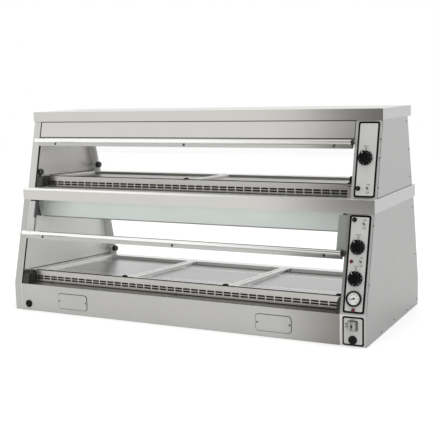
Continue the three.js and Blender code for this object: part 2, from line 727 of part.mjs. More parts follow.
// The slotted strip that lets air in under the front edge of the deck
function ventStrip(tier) {
  const x0 = BAY_LEFT + END_BLOCK_WIDTHS.left + 2 * SEAT;
  const x1 = BAY_RIGHT - END_BLOCK_WIDTHS.right - 2 * SEAT;
  const cuts = [];
  const slots = Math.floor((x1 - x0 - SLOT_LENGTH) / SLOT_PITCH);
  const first = (x0 + x1) / 2 - (slots * SLOT_PITCH) / 2;
  for (const row of [0, 1]) {
    const z = -SLOT_ROW_TOP - row * SLOT_ROW_PITCH;
    for (let i = 0; i <= slots; i += 1) {
      const x = first + i * SLOT_PITCH;
      cuts.push(block(x - SLOT_LENGTH / 2, x + SLOT_LENGTH / 2, -OVERRUN, STRIP_LIP / 2,
        z - SLOT_HEIGHT / 2, z + SLOT_HEIGHT / 2));
    }
  }
  const channel = alongX([
    [0, -STRIP_HEIGHT], [STRIP_LIP, -STRIP_HEIGHT], [STRIP_LIP, SHEET - STRIP_HEIGHT],
    [SHEET, SHEET - STRIP_HEIGHT], [SHEET, -SHEET], [STRIP_LIP, -SHEET], [STRIP_LIP, 0], [0, 0],
  ], x0, x1);
  const parts = [cut(channel, ...cuts)];
  const gap = tier.deckRise - STRIP_HEIGHT - SEAT;
  if (gap > SHEET) {
    for (const share of STRIP_FOOT_SHARES) {
      const x = x0 + (x1 - x0) * share;
      parts.push(block(x - STRIP_FOOT_WIDTH / 2, x + STRIP_FOOT_WIDTH / 2, -STRIP_FOOT_FRONT, STRIP_LIP / 2,
        -STRIP_HEIGHT - gap, SHEET / 2 - STRIP_HEIGHT));
    }
  }
  const mesh = piece(`${tier.name}_vent_strip`, join(...parts), "polished");
  mesh.position.set(0, deckFront(tier), deckTop(tier));
  return mesh;
}

// Round knob whose axis points along X, from [radius, distance] pairs, at a place on a side's inner face
function sideKnob(profile, inward, x, y, z) {
  const points = profile.map(([radius, distance]) => new THREE.Vector2(radius, distance));
  return new THREE.LatheGeometry(points, SMALL_STEPS).rotateZ(-inward * Math.PI / 2).translate(x, y, z);
}

// Black block at one end of a vent strip, under the bracket with its round knob
function stripEnd(tier, side) {
  const inward = side === "left" ? 1 : -1;
  const wall = (side === "left" ? BAY_LEFT : BAY_RIGHT) + inward * SEAT;
  const across = (from, to) => [wall + inward * from, wall + inward * to].sort((a, b) => a - b);
  const foot = standTop(tier) + SEAT;
  const top = foot + END_BLOCK_HEIGHT - SHEET;
  const front = (z) => frontAt(tier, z) + END_BLOCK_BEHIND;
  const rear = deckFront(tier) + STRIP_LIP;
  const [x0, x1] = across(0, END_BLOCK_WIDTHS[side]);
  const blockBody = alongX([
    [front(foot), foot], [rear, foot], [rear - END_BLOCK_LEAN, top], [front(top) + KNOB_EDGE, top],
    [front(top), top - KNOB_EDGE],
  ], x0, x1);
  const z = standTop(tier) + tier.knobRise;
  const y = frontAt(tier, z) + FRONT_KNOB_BEHIND;
  const [b0, b1] = across(BRACKET / 2, 1.5 * BRACKET);
  const bracket = alongX([
    [y - KNOB_NECK_RADIUS, top - 2 * KNOB_EDGE], [y + KNOB_NECK_RADIUS, top - 2 * KNOB_EDGE],
    [y + KNOB_NECK_RADIUS, z], [y - KNOB_NECK_RADIUS, z],
  ], b0, b1);
  const knob = sideKnob([
    [0, BRACKET], [KNOB_RADIUS, BRACKET], [KNOB_RADIUS, FRONT_KNOB_LENGTH - KNOB_EDGE],
    [KNOB_RADIUS - KNOB_EDGE, FRONT_KNOB_LENGTH], [0, FRONT_KNOB_LENGTH],
  ], inward, wall, y, z);
  return piece(`${tier.name}_strip_end_${side}`, join(blockBody, bracket, knob), "black");
}

// Round knob that clamps the rear glass channel, on a neck out of a side's inner face
function rearKnob(tier, side) {
  const inward = side === "left" ? 1 : -1;
  const z = deckTop(tier) - deckLength(tier) * Math.sin(tier.deckTilt) + REAR_KNOB_RISE + KNOB_RADIUS;
  const channel = CHANNEL_INSET + channelDepth() / Math.cos(slopes(tier).rearAngle);
  const y = rearAt(tier, z + KNOB_RADIUS) - channel - KNOB_CLEARANCE - KNOB_RADIUS;
  const x = (side === "left" ? BAY_LEFT : BAY_RIGHT) + inward * SEAT;
  const start = CHANNEL_WIDTH - KNOB_EDGE;
  const end = start + REAR_KNOB_LENGTH;
  const knob = sideKnob([
    [0, 0], [KNOB_NECK_RADIUS, 0], [KNOB_NECK_RADIUS, start], [KNOB_RADIUS, start + KNOB_EDGE],
    [KNOB_RADIUS, end - KNOB_EDGE], [KNOB_RADIUS - KNOB_EDGE, end], [0, end],
  ], inward, x, y, z);
  return piece(`${tier.name}_rear_knob_${side}`, knob, "black");
}

// Pans

// The bowl and rim as rings of rounded rectangles, from the middle of the underside to that of the floor
function bowl(width, depth, height) {
  const profile = [
    [-PAN_DRAFT, -height, 0], [0, -PAN_SHEET, 0], [PAN_RIM, -PAN_SHEET, PAN_FRONT_FLANGE - PAN_RIM],
    [PAN_RIM, 0, PAN_FRONT_FLANGE - PAN_RIM], [-PAN_SHEET, 0, 0],
    [-PAN_DRAFT - PAN_SHEET, PAN_SHEET - height, 0],
  ];
  const rings = profile.map(([offset, , flange]) => roundedCorners(
    -width / 2 - offset, -depth / 2 - offset - flange, width / 2 + offset, depth / 2 + offset,
    offset > 0 ? PAN_RIM_CORNER : PAN_CORNER + offset));
  const count = rings[0].length;
  const position = [];
  rings.forEach((points, k) => points.forEach(([x, y]) => position.push(x, y, profile[k][1])));
  const bottom = position.length / 3;
  position.push(0, 0, profile[0][1], 0, 0, profile[profile.length - 1][1]);
  const index = [];
  for (let i = 0; i < count; i += 1) {
    const j = (i + 1) % count;
    index.push(bottom, j, i);
    for (let k = 0; k + 1 < rings.length; k += 1) {
      const a = k * count;
      const b = a + count;
      index.push(a + i, a + j, b + j, a + i, b + j, b + i);
    }
    const last = (rings.length - 1) * count;
    index.push(bottom + 1, last + i, last + j);
  }
  const geometry = new THREE.BufferGeometry();
  geometry.setAttribute("position", new THREE.Float32BufferAttribute(position, 3));
  geometry.setIndex(index);
  return geometry;
}

// Two rows of small slots in the floor of a pan, near its front and its rear
function floorSlots(width, depth, height) {
  const last = Math.floor((width - 2 * PAN_CORNER - FLOOR_SLOT_LENGTH) / FLOOR_SLOT_PITCH);
  return FLOOR_SLOT_ROW_SHARES.flatMap((share) => Array.from({ length: last + 1 }, (_, i) => {
    const x = (i - last / 2) * FLOOR_SLOT_PITCH;
    const y = share * depth;
    return block(x - FLOOR_SLOT_LENGTH / 2, x + FLOOR_SLOT_LENGTH / 2, y - FLOOR_SLOT_WIDTH / 2,
      y + FLOOR_SLOT_WIDTH / 2, -height - OVERRUN, OVERRUN - height);
  }));
}

function pans(tier) {
  const { left, right } = panField();
  const pitch = (right - left) / tier.pans;
  const front = deckStart(tier) + PAN_FRONT_FLANGE;
  const rear = deckLength(tier) - tier.deckLedge - PAN_RIM - SEAT;
  const width = pitch - 2 * PAN_RIM - PAN_GAP;
  const depth = rear - front;
  return Array.from({ length: tier.pans }, (_, i) => {
    const notch = new THREE.CylinderGeometry(NOTCH_RADIUS, NOTCH_RADIUS, 2 * OVERRUN, SMALL_STEPS)
      .rotateX(Math.PI / 2)
      .translate(width / 2 + PAN_RIM - NOTCH_FROM_EDGE, -depth / 2 - PAN_FRONT_FLANGE, 0);
    const body = cut(bowl(width, depth, tier.panDepth), notch,
      ...floorSlots(width, depth, tier.panDepth));
    const mesh = piece(`${tier.name}_pan_${i + 1}`, body, "pan");
    mesh.position.set(left + pitch * (i + 0.5), front + depth / 2, 0);
    return slopes(tier).deck().add(mesh);
  });
}

// Base

function basePan() {
  const x0 = BAY_LEFT + SEAT;
  const x1 = BAY_RIGHT - SEAT;
  const rear = lower.depth;
  const profile = foldedSheet([
    [SHEET + SEAT, 0], [rear, 0], [rear, lower.plinth],
    [rear - REAR_LEDGE_DEPTH, lower.plinth], [rear - REAR_LEDGE_DEPTH, lower.plinth - LEDGE_DROP],
  ], SHEET);
  return piece("base_pan", alongX(profile, x0, x1), "steel");
}

// Front of the plinth with the ledge that the air strip stands on
function plinthFront() {
  const x0 = BAY_LEFT + SEAT;
  const x1 = BAY_RIGHT - SEAT;
  const profile = foldedSheet([
    [LEDGE_DEPTH, lower.plinth - LEDGE_DROP], [LEDGE_DEPTH, lower.plinth], [0, lower.plinth], [0, 0],
  ], SHEET);
  const windows = accessLefts().map((x) => alongY(
    roundedOutline(x + ACCESS_BORDER, ACCESS_BOTTOM + ACCESS_BORDER, x + ACCESS_WIDTH - ACCESS_BORDER,
      ACCESS_BOTTOM + ACCESS_HEIGHT - ACCESS_BORDER, SHEET, 1), -OVERRUN, OVERRUN));
  const hole = new THREE.CylinderGeometry(PLUG_SHANK_RADIUS + SEAT, PLUG_SHANK_RADIUS + SEAT,
    2 * OVERRUN, ROUND_STEPS).translate(BAY_LEFT + PLUG_FROM_BAY, 0, PLUG_Z);
  return piece("plinth_front_panel", cut(alongX(profile, x0, x1), ...windows, hole), "steel");
}

function accessLefts() {
  return ACCESS_LEFT_SHARES.map((share) => BAY_LEFT + share * BAY_WIDTH);
}

function accessPlates() {
  return accessLefts().map((x, i) => piece(
    `access_plate_${i ? "right" : "left"}`,
    alongY(roundedOutline(x, ACCESS_BOTTOM, x + ACCESS_WIDTH, ACCESS_BOTTOM + ACCESS_HEIGHT,
      ACCESS_CORNER), -PLATE - SEAT, -SEAT),
    "steel"));
}

function plug(name, x, y, z, shank) {
  const profile = [
    [0, 0], [PLUG_RADIUS, 0], [PLUG_RADIUS, PLUG_HEIGHT / 2],
    [PLUG_RADIUS - PLUG_HEIGHT / 2, PLUG_HEIGHT], [0, PLUG_HEIGHT],
  ];
  if (shank) profile.splice(0, 1, [0, -shank], [PLUG_SHANK_RADIUS, -shank], [PLUG_SHANK_RADIUS, 0]);
  const mesh = piece(name, turned(profile), "black");
  mesh.position.set(x, y - SEAT, z);
  return mesh;
}

// Heater loop that lies under the lower deck
function heatingElement() {
  const { left, right } = panField();
  const front = LEDGE_DEPTH + ELEMENT_END_GAP;
  const rear = deckLength(lower) - ELEMENT_END_GAP;
  const pitch = (rear - front) / (2 * ELEMENT_TURNS - 1);
  const x0 = left + ELEMENT_SIDE_GAP;
  const x1 = right - ELEMENT_SIDE_GAP;
  const points = [];
  for (let run = 0; run < 2 * ELEMENT_TURNS; run += 1) {
    const y = front + run * pitch;
    const [from, to] = run % 2 ? [x1, x0] : [x0, x1];
    points.push(new THREE.Vector3(from, y, 0), new THREE.Vector3(to, y, 0));
    if (run + 1 === 2 * ELEMENT_TURNS) break;
    for (let i = 1; i < ELEMENT_BEND_STEPS; i += 1) {
      const turn = (Math.PI * i) / ELEMENT_BEND_STEPS;
      const out = (Math.sin(turn) * pitch) / 2;
      points.push(new THREE.Vector3(to + (run % 2 ? -out : out),
        y + ((1 - Math.cos(turn)) * pitch) / 2, 0));
    }
  }
  const tube = tubeThrough(points, ELEMENT_RADIUS, ELEMENT_SIDES)
    .translate(0, 0, -lower.wellDepth - SEAT - SHEET - SEAT - ELEMENT_RADIUS);
  return slopes(lower).deck().add(piece("heater_loop", tube, "dark"));
}

// A round tube through points that lie in a plane of constant Z
function tubeThrough(points, radius, sides) {
  const count = points.length;
  const position = [];
  points.forEach((p, i) => {
    const before = points[Math.max(i - 1, 0)];
    const after = points[Math.min(i + 1, count - 1)];
    const along = after.clone().sub(before).normalize();
    for (let k = 0; k < sides; k += 1) {
      const turn = (2 * Math.PI * k) / sides;
      position.push(p.x + along.y * radius * Math.cos(turn), p.y - along.x * radius * Math.cos(turn),
        p.z + radius * Math.sin(turn));
    }
  });
  position.push(...points[0].toArray(), ...points[count - 1].toArray());
  const index = [];
  for (let k = 0; k < sides; k += 1) {
    const j = (k + 1) % sides;
    index.push(count * sides, k, j);
    for (let i = 0; i + 1 < count; i += 1) {
      const a = i * sides;
      const b = a + sides;
      index.push(a + k, b + k, b + j, a + k, b + j, a + j);
    }
    const last = (count - 1) * sides;
    index.push(count * sides + 1, last + j, last + k);
  }
  const geometry = new THREE.BufferGeometry();
  geometry.setAttribute("position", new THREE.Float32BufferAttribute(position, 3));
  geometry.setIndex(index);
  return geometry;
}

// Controls

// A bush with its nut, fused to the plate, that a toggle lever stands in
function toggleBush(x, z, face) {
  const sunk = TOGGLE_NUT_HEIGHT + PLATE / 2;
  const nut = new THREE.CylinderGeometry(TOGGLE_NUT_RADIUS, TOGGLE_NUT_RADIUS, sunk, 6)
    .translate(0, -(TOGGLE_NUT_HEIGHT - PLATE / 2) / 2, 0);
  const radius = TOGGLE_BUSH_RADIUS;
  const bush = new THREE.CylinderGeometry(radius, radius, TOGGLE_BUSH_HEIGHT, SMALL_STEPS)
    .translate(0, -TOGGLE_BUSH_HEIGHT / 2, 0);
  return join(nut, bush).translate(x, face, z);
}

function toggleBore(x, z, face) {
  return new THREE.CylinderGeometry(TOGGLE_BUSH_BORE, TOGGLE_BUSH_BORE, TOGGLE_BUSH_HEIGHT, SMALL_STEPS)
    .translate(x, face - TOGGLE_BUSH_HEIGHT / 2 - PLATE / 3, z);
}

// The bat-shaped lever of a toggle switch, pointing up in its rest place
function toggleLever(name, x, z, face) {
  const ball = TOGGLE_BUSH_BORE - 2 * SEAT;
  const shoulder = ball * TOGGLE_BALL_SHARE;
  const lever = turned([
    [0, -ball / 2], [shoulder, -ball / 4], [ball, 0], [shoulder, ball / 4], [TOGGLE_ROOT_RADIUS, ball / 2],
    [TOGGLE_TIP_RADIUS, TOGGLE_LENGTH - TOGGLE_TIP_RADIUS],
    [TOGGLE_TIP_RADIUS * TOGGLE_TIP_SHARE, TOGGLE_LENGTH - SEAT], [0, TOGGLE_LENGTH],
  ], SMALL_STEPS).rotateX(-TOGGLE_TILT);
  const mesh = piece(name, lever, "polished");
  mesh.position.set(x, face - TOGGLE_BUSH_HEIGHT / 2 - SEAT, z);
  return mesh;
}

// Thermostat knob: a skirt with a round grip and a raised pointer ridge
function dialKnob(name, x, z, face) {
  const body = turned([
    [0, 0], [DIAL_RADIUS - DIAL_EDGE, 0], [DIAL_RADIUS, DIAL_EDGE], [DIAL_RADIUS, DIAL_SKIRT - DIAL_EDGE],
    [DIAL_RADIUS - DIAL_EDGE, DIAL_SKIRT], [DIAL_GRIP_RADIUS, DIAL_SKIRT + DIAL_EDGE],
    [DIAL_GRIP_RADIUS - DIAL_EDGE, DIAL_HEIGHT - SHEET - DIAL_EDGE],
    [DIAL_GRIP_RADIUS - 2 * DIAL_EDGE, DIAL_HEIGHT - SHEET], [0, DIAL_HEIGHT - SHEET],
  ]);
  const ridge = alongY(roundedOutline(-DIAL_RIDGE_WIDTH / 2, SHEET - DIAL_GRIP_RADIUS, DIAL_RIDGE_WIDTH / 2,
    DIAL_RADIUS - SHEET, DIAL_EDGE, 2), -DIAL_HEIGHT, -DIAL_SKIRT / 2).rotateY(-DIAL_TURN);
  const mesh = piece(name, join(body, ridge), "black");
  mesh.position.set(x, face - SEAT, z);
  return mesh;
}

function fuseCap(name, x, z, face) {
  const body = turned([
    [0, 0], [FUSE_RADIUS, 0], [FUSE_RADIUS, FUSE_HEIGHT / 3], [FUSE_RADIUS - DIAL_EDGE, FUSE_HEIGHT / 3],
    [FUSE_RADIUS - DIAL_EDGE, FUSE_HEIGHT], [0, FUSE_HEIGHT],
  ], SMALL_STEPS);
  const slot = block(-FUSE_RADIUS, FUSE_RADIUS, -FUSE_HEIGHT - OVERRUN, FUSE_SLOT_DEPTH - FUSE_HEIGHT,
    -FUSE_SLOT_WIDTH / 2, FUSE_SLOT_WIDTH / 2);
  const mesh = piece(name, cut(body, slot), "black");
  mesh.position.set(x, face - SEAT, z);
  return mesh;
}

function pilotLamp(name, x, z, face) {
  const lens = PILOT_RADIUS - PILOT_RIM;
  const dome = PILOT_DOME_SHARES.map(([radius, height]) => [lens * radius, PILOT_HEIGHT * height]);
  const mesh = piece(name, turned([
    [0, 0], [PILOT_RADIUS, 0], [PILOT_RADIUS, PILOT_RIM], [lens, 2 * PILOT_RIM], ...dome,
    [0, PILOT_HEIGHT],
  ], SMALL_STEPS), "red");
  mesh.position.set(x, face - SEAT, z);
  return mesh;
}

// Dial thermometer: a round case with a raised rim and a sunk face
function gaugeCase(x, z, face) {
  const inner = GAUGE_RADIUS - GAUGE_RIM;
  const mesh = piece("thermometer_case", turned([
    [0, 0], [GAUGE_RADIUS, 0], [GAUGE_RADIUS, GAUGE_HEIGHT - DIAL_EDGE],
    [GAUGE_RADIUS - DIAL_EDGE, GAUGE_HEIGHT], [inner + DIAL_EDGE, GAUGE_HEIGHT],
    [inner, GAUGE_HEIGHT - DIAL_EDGE], [inner, GAUGE_HEIGHT - GAUGE_DISH],
    [0, GAUGE_HEIGHT - GAUGE_DISH],
  ], ROUND_STEPS), "dial");
  mesh.position.set(x, face - SEAT, z);
  return mesh;
}

function gaugeNeedle(x, z, face) {
  const hub = turned([[0, 0], [NEEDLE_HUB_RADIUS, 0], [NEEDLE_HUB_RADIUS, NEEDLE_HUB_HEIGHT],
    [0, NEEDLE_HUB_HEIGHT]], SMALL_STEPS);
  const blade = alongXZ([
    [-NEEDLE_WIDTH / 2, -NEEDLE_TAIL], [NEEDLE_WIDTH / 2, -NEEDLE_TAIL], [NEEDLE_WIDTH / 2, 0],
    [NEEDLE_WIDTH / 8, NEEDLE_LENGTH], [-NEEDLE_WIDTH / 8, NEEDLE_LENGTH], [-NEEDLE_WIDTH / 2, 0],
  ], -NEEDLE_HUB_HEIGHT / 2 - NEEDLE_THICKNESS / 2, NEEDLE_THICKNESS / 2 - NEEDLE_HUB_HEIGHT / 2)
    .rotateY(-NEEDLE_TURN);
  const mesh = piece("thermometer_needle", join(hub, blade), "black");
  mesh.position.set(x, face - SEAT - (GAUGE_HEIGHT - GAUGE_DISH) - SEAT, z);
  return mesh;
}

// Rotary isolator handle: a round foot under a squarish grip with a wide groove and a bolt head
function isolatorLever(x, z, face) {
  const foot = turned([[0, 0], [ISOLATOR_RADIUS, 0], [ISOLATOR_RADIUS, ISOLATOR_BASE], [0, ISOLATOR_BASE]]);
  const grip = alongY(roundedOutline(-ISOLATOR_WIDTH / 2, -ISOLATOR_LENGTH / 2, ISOLATOR_WIDTH / 2,
    ISOLATOR_LENGTH / 2, DIAL_EDGE, 2), -ISOLATOR_HEIGHT, -ISOLATOR_BASE / 2);
  const groove = block(-ISOLATOR_GROOVE / 2, ISOLATOR_GROOVE / 2, -ISOLATOR_HEIGHT - OVERRUN, -ISOLATOR_FLOOR,
    -ISOLATOR_LENGTH, ISOLATOR_LENGTH);
  const bolt = turned([[0, ISOLATOR_BASE], [ISOLATOR_BOLT_RADIUS, ISOLATOR_BASE],
    [ISOLATOR_BOLT_RADIUS, ISOLATOR_FLOOR + SHEET], [0, ISOLATOR_FLOOR + SHEET]], SMALL_STEPS);
  const mesh = piece("isolator_lever", join(foot, cut(grip, groove), bolt), "grey");
  mesh.position.set(x, face - SEAT, z);
  return mesh;
}

// A control plate in a frame whose Y = 0 is the fascia; its bushes stand on it
function controlPlate(name, bottom, top, bushes) {
  const x0 = BAY_RIGHT + PLATE_FROM_BAY;
  const face = -SEAT - PLATE;
  const flat = alongY(roundedOutline(x0, bottom, x0 + PLATE_WIDTH, top, PLATE_CORNER), face, -SEAT);
  if (!bushes.length) return piece(name, flat, "plate");
  const raised = join(flat, ...bushes.map(({ x, z }) => toggleBush(x, z, face)));
  return piece(name, cut(raised, ...bushes.map(({ x, z }) => toggleBore(x, z, face))), "plate");
}

// Finds a control's place on a plate from its row and its share of the width
function placer(rows, bottom, top) {
  const stack = Object.entries(rows);
  const free = top - bottom - stack.reduce((sum, [, row]) => sum + row.height, 0);
  const middles = {};
  let z = bottom;
  for (const [name, row] of stack) {
    z += row.gapShare * free;
    middles[name] = z + row.height / 2;
    z += row.height;
  }
  return ({ acrossShare, row, shift = 0 }) => ({
    x: BAY_RIGHT + PLATE_FROM_BAY + acrossShare * PLATE_WIDTH,
    z: middles[row] + shift,
  });
}

// Controls of one tier on its sloping fascia
function slopeControls(tier, rows, controls) {
  const face = -SEAT - PLATE;
  const bottom = upSlope(tier, tier.floor + tier.plinth + tier.plateFoot);
  const top = upSlope(tier, tier.top - tier.plateHead);
  const place = placer(rows, bottom, top);
  const toggles = controls.toggles.map(place);
  const frame = slopes(tier).front();
  frame.add(controlPlate(`${tier.name}_control_plate`, bottom, top, toggles));
  toggles.forEach(({ x, z }, i) => {
    frame.add(toggleLever(`${tier.name}_toggle_${i + 1}`, x, z, face));
  });
  controls.dials.map(place).forEach(({ x, z }, i) => {
    frame.add(dialKnob(`${tier.name}_thermostat_knob_${i + 1}`, x, z, face));
  });
  const fuse = place(controls.fuse);
  frame.add(fuseCap(`${tier.name}_fuse_cap`, fuse.x, fuse.z, face));
  (controls.pilots ?? []).map(place).forEach(({ x, z }, i) => {
    frame.add(pilotLamp(`pilot_lamp_${i + 1}`, x, z, face));
  });
  if (controls.gauge) {
    const gauge = place(controls.gauge);
    frame.add(gaugeCase(gauge.x, gauge.z, face), gaugeNeedle(gauge.x, gauge.z, face));
  }
  return frame;
}

function isolatorPanel() {
  const top = lower.plinth - ISOLATOR_HEAD;
  const place = placer(ISOLATOR_ROWS, ISOLATOR_FOOT, top);
  const face = -SEAT - PLATE;
  const lever = place({ acrossShare: ISOLATOR_ACROSS_SHARE, row: "lever" });
  const cover = place({ acrossShare: ISOLATOR_ACROSS_SHARE, row: "plug" });
  return [
    controlPlate("isolator_plate", ISOLATOR_FOOT, top, []),
    isolatorLever(lever.x, lever.z, face),
    plug("cable_plug_right", cover.x, face, cover.z, 0),
  ];
}

// The whole case

function tierPieces(tier, rows, controls) {
  return [
    leftWall(tier),
    controlHousing(tier),
    rightCover(tier),
    cap(tier),
    canopy(tier),
    heatLamp(tier),
    rearGlass(tier),
    rail(tier),
    deck(tier),
    ventStrip(tier),
    ...dividers(tier),
    stripEnd(tier, "left"),
    stripEnd(tier, "right"),
    rearKnob(tier, "left"),
    rearKnob(tier, "right"),
    ...pans(tier),
    slopeControls(tier, rows, controls),
  ];
}

const displayCase = new THREE.Group();
displayCase.position.y = -lower.depth / 2;
displayCase.add(
  basePan(),
  plinthFront(),
  ...accessPlates(),
  plug("cable_plug_left", BAY_LEFT + PLUG_FROM_BAY, 0, PLUG_Z, PLUG_SHANK_LENGTH),
  ...isolatorPanel(),
  ...tierPieces(lower, MAIN_ROWS, MAIN_CONTROLS),
  frontGlass(lower),
  heatingElement(),
  ...tierPieces(upper, UPPER_ROWS, UPPER_CONTROLS),
);

export default displayCase;
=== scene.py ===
# %% [markdown]
# Heated display case: the looks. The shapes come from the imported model, which stays where it is.
# This lesson gives every sheet, knob and pane its finish, adds the small parts that are too fine
# for the plain solids, and sets up the floor, the light and the camera.

# %% Load the frame
import math
import bpy
import bmesh
from mathutils import Matrix, Vector


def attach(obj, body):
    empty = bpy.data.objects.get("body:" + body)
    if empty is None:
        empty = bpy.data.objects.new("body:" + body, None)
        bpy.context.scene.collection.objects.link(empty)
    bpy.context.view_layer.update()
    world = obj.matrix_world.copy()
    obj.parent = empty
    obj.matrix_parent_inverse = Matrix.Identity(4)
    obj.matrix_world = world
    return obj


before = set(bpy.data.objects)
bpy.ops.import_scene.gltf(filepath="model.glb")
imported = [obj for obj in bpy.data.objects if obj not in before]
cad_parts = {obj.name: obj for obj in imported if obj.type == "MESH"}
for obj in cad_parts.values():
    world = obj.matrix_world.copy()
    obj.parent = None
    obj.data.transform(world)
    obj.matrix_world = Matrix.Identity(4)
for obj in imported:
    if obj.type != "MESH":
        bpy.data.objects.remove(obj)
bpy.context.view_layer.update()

# %% [markdown]
# The case stands with its operator's side to -Y. Four planes carry nearly all the small parts: the
# right side, the upright plinth and the sloping front of each tier. A small frame for each plane,
# with a point and three directions, puts a screw or a mark on it with no guessing.

# %% Planes that carry small parts
TIERS = ("lower", "upper")
FRONT = -0.323
SIDE = 0.729

def plane(origin, right, out):
    right, out = Vector(right).normalized(), Vector(out).normalized()
    up = out.cross(right)
    place = Matrix((right, up, out)).transposed().to_4x4()
    place.translation = Vector(origin)
    return place

def slope(behind, floor, setback, rise):
    "The front of a tier: its foot behind the case's front, its floor, and how far it leans back."
    return plane((0, FRONT + behind, floor), (1, 0, 0), (0, -rise, setback))

WORLD = Matrix.Identity(4)
LOWER = slope(0.0, 0.106, 0.086, 0.325)
UPPER = slope(0.117, 0.4783, 0.065, 0.2587)
SLOPES = {"lower": LOWER, "upper": UPPER}
PLINTH = plane((0, FRONT, 0), (1, 0, 0), (0, -1, 0))
RIGHT_SIDE = plane((SIDE, FRONT, 0), (0, 1, 0), (1, 0, 0))
print("lower front faces", [round(v, 3) for v in LOWER.to_3x3() @ Vector((0, 0, 1))])

# %% [markdown]
# A part that is added should sit on the solid that carries it, so most places are measured on the
# solids. The box of a solid, seen in the frame of a plane, is enough for that.

# %% Measuring the solids
def box_on(name, place):
    "The corners of a solid's box, measured in the frame of a plane."
    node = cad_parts[name]
    back = place.inverted() @ node.matrix_world
    points = [back @ v.co for v in node.data.vertices]
    return (Vector([min(p[i] for p in points) for i in range(3)]),
            Vector([max(p[i] for p in points) for i in range(3)]))

def middle_on(name, place):
    low, high = box_on(name, place)
    return (low + high) / 2

def height_on(place, z):
    "How far up a plane a height above the ground lies."
    return (z - place.translation.z) / (place.to_3x3() @ Vector((0, 1, 0))).z

def at(place, x, y, out=0.0, turn=0.0):
    "A place in a plane: right, up and out, turned about the outward direction."
    return place @ Matrix.Translation((x, y, out)) @ Matrix.Rotation(turn, 4, "Z")

BAY_LEFT, BAY_RIGHT = -0.697, 0.636
print("the bay between the walls is", round(BAY_RIGHT - BAY_LEFT, 3), "m wide")

# %% [markdown]
# A finish is a small tree of nodes. By hand, each node is added, set and wired in turn. These
# helpers do the same: an input takes either a plain value or the output of another node.

# %% Helpers for nodes
def fill(tree, node, inputs):
    "Gives each input of a node a value, or wires the output of another node to it."
    for key, value in inputs.items():
        if isinstance(value, bpy.types.NodeSocket):
            tree.links.new(value, node.inputs[key])
        else:
            node.inputs[key].default_value = value

def add(tree, kind, inputs=None, **settings):
    node = tree.nodes.new("ShaderNode" + kind)
    for key, value in settings.items():
        setattr(node, key, value)
    fill(tree, node, inputs or {})
    return node

def step(tree, operation, *values):
    "One step of arithmetic."
    return add(tree, "Math", dict(enumerate(values)), operation=operation).outputs[0]

def blend(tree, factor, before, after):
    "Mixes two colours. A Mix node takes them at inputs 6 and 7 and gives the blend at output 2."
    colors = {"Factor": factor, 6: before, 7: after}
    return add(tree, "Mix", colors, data_type="RGBA").outputs[2]

def new_material(name):
    mat = bpy.data.materials.new(name)
    mat.use_nodes = True
    return mat, mat.node_tree, mat.node_tree.nodes["Principled BSDF"]

def copy_of(mat, name):
    other = mat.copy()
    other.name = name
    return other

print("node helpers ready")

# %% [markdown]
# Stainless sheet is not one grey. It has a fine grain along the rolling direction, which changes
# its roughness a little, and faint clouds where it was handled. One helper builds such a metal
# from noise on Object coordinates, so the grain has its real size on every piece.

# %% A helper for finishes
ROUGHNESS_SPREAD = 0.08

def finish(name, color, metallic, roughness, grain=(4, 900, 900), depth=0.02, cloud=0.04, shine=0.5):
    mat, tree, shader = new_material(name)
    where = add(tree, "TexCoord").outputs["Object"]
    stretched = add(tree, "Mapping", {"Vector": where, "Scale": grain}).outputs["Vector"]
    fine = add(tree, "TexNoise", {"Vector": stretched, "Scale": 1.0, "Detail": 3.0}).outputs["Fac"]
    clouds = add(tree, "TexNoise", {"Vector": where, "Scale": 7.0, "Detail": 4.0}).outputs["Fac"]
    dark, pale = ((*[min(1, c * share) for c in color], 1) for share in (1 - cloud, 1 + cloud))
    rough = add(tree, "MapRange", {"Value": fine, "To Min": roughness - ROUGHNESS_SPREAD / 2,
                                   "To Max": roughness + ROUGHNESS_SPREAD / 2})
    bump = add(tree, "Bump", {"Height": fine, "Strength": depth, "Distance": 0.001})
    fill(tree, shader, {"Base Color": blend(tree, clouds, dark, pale), "Metallic": metallic,
                        "Specular IOR Level": shine, "Roughness": rough.outputs["Result"],
                        "Normal": bump.outputs["Normal"]})
    return mat

steel = finish("brushed_stainless", (0.64, 0.63, 0.61), 1.0, 0.30)
print("first finish:", steel.name)

# %% [markdown]
# The sheets differ a little. The plinth and the side covers are darker, which is painted shade, and
# the decks paler, which is painted light; the pans have the coarser and fainter grain of pressed
# sheet.
# Where both tiers have the same steel, the finish is made once for each tier, because each tier gets
# tones of its own later, most of them painted light and shade.

# %% Steels
def steel_of_both(name, color, roughness, **more):
    return {tier: finish(f"{tier}_{name}", color, 1.0, roughness, **more) for tier in TIERS}

TRIM = {"grain": (3, 700, 700), "depth": 0.01}
PRESSED = {"grain": (5, 500, 500), "depth": 0.012, "cloud": 0.12}
cap_steel = steel_of_both("cap_sheet", (0.63, 0.62, 0.59), 0.30)
housing_steel = steel_of_both("housing_sheet", (0.60, 0.59, 0.57), 0.32)
rail_steel = steel_of_both("rail_steel", (0.52, 0.515, 0.50), 0.20, **TRIM)
wall_steel = {"lower": finish("lower_side_sheet", (0.50, 0.495, 0.475), 1.0, 0.46, cloud=0.05),
              "upper": finish("upper_side_sheet", (0.62, 0.615, 0.60), 1.0, 0.44, cloud=0.05)}
pan_steel = {"lower": finish("lower_pan_steel", (0.43, 0.44, 0.43), 1.0, 0.30, **PRESSED),
             "upper": finish("upper_pan_steel", (0.36, 0.355, 0.34), 1.0, 0.30, **PRESSED)}
# Painted shade: a darker copy of the steel for the plinth, its plates and the base pan.
shaded_plinth_steel = finish("shaded_plinth_sheet", (0.49, 0.485, 0.465), 1.0, 0.34, cloud=0.07)
# Painted light: the decks and the bars between the pans are paler and less metallic.
lit_deck_steel = finish("lit_deck_sheet", (0.90, 0.89, 0.87), 0.6, 0.32, cloud=0.05)
canopy_steel = finish("lower_canopy_sheet", (0.62, 0.66, 0.63), 1.0, 0.34, cloud=0.05)
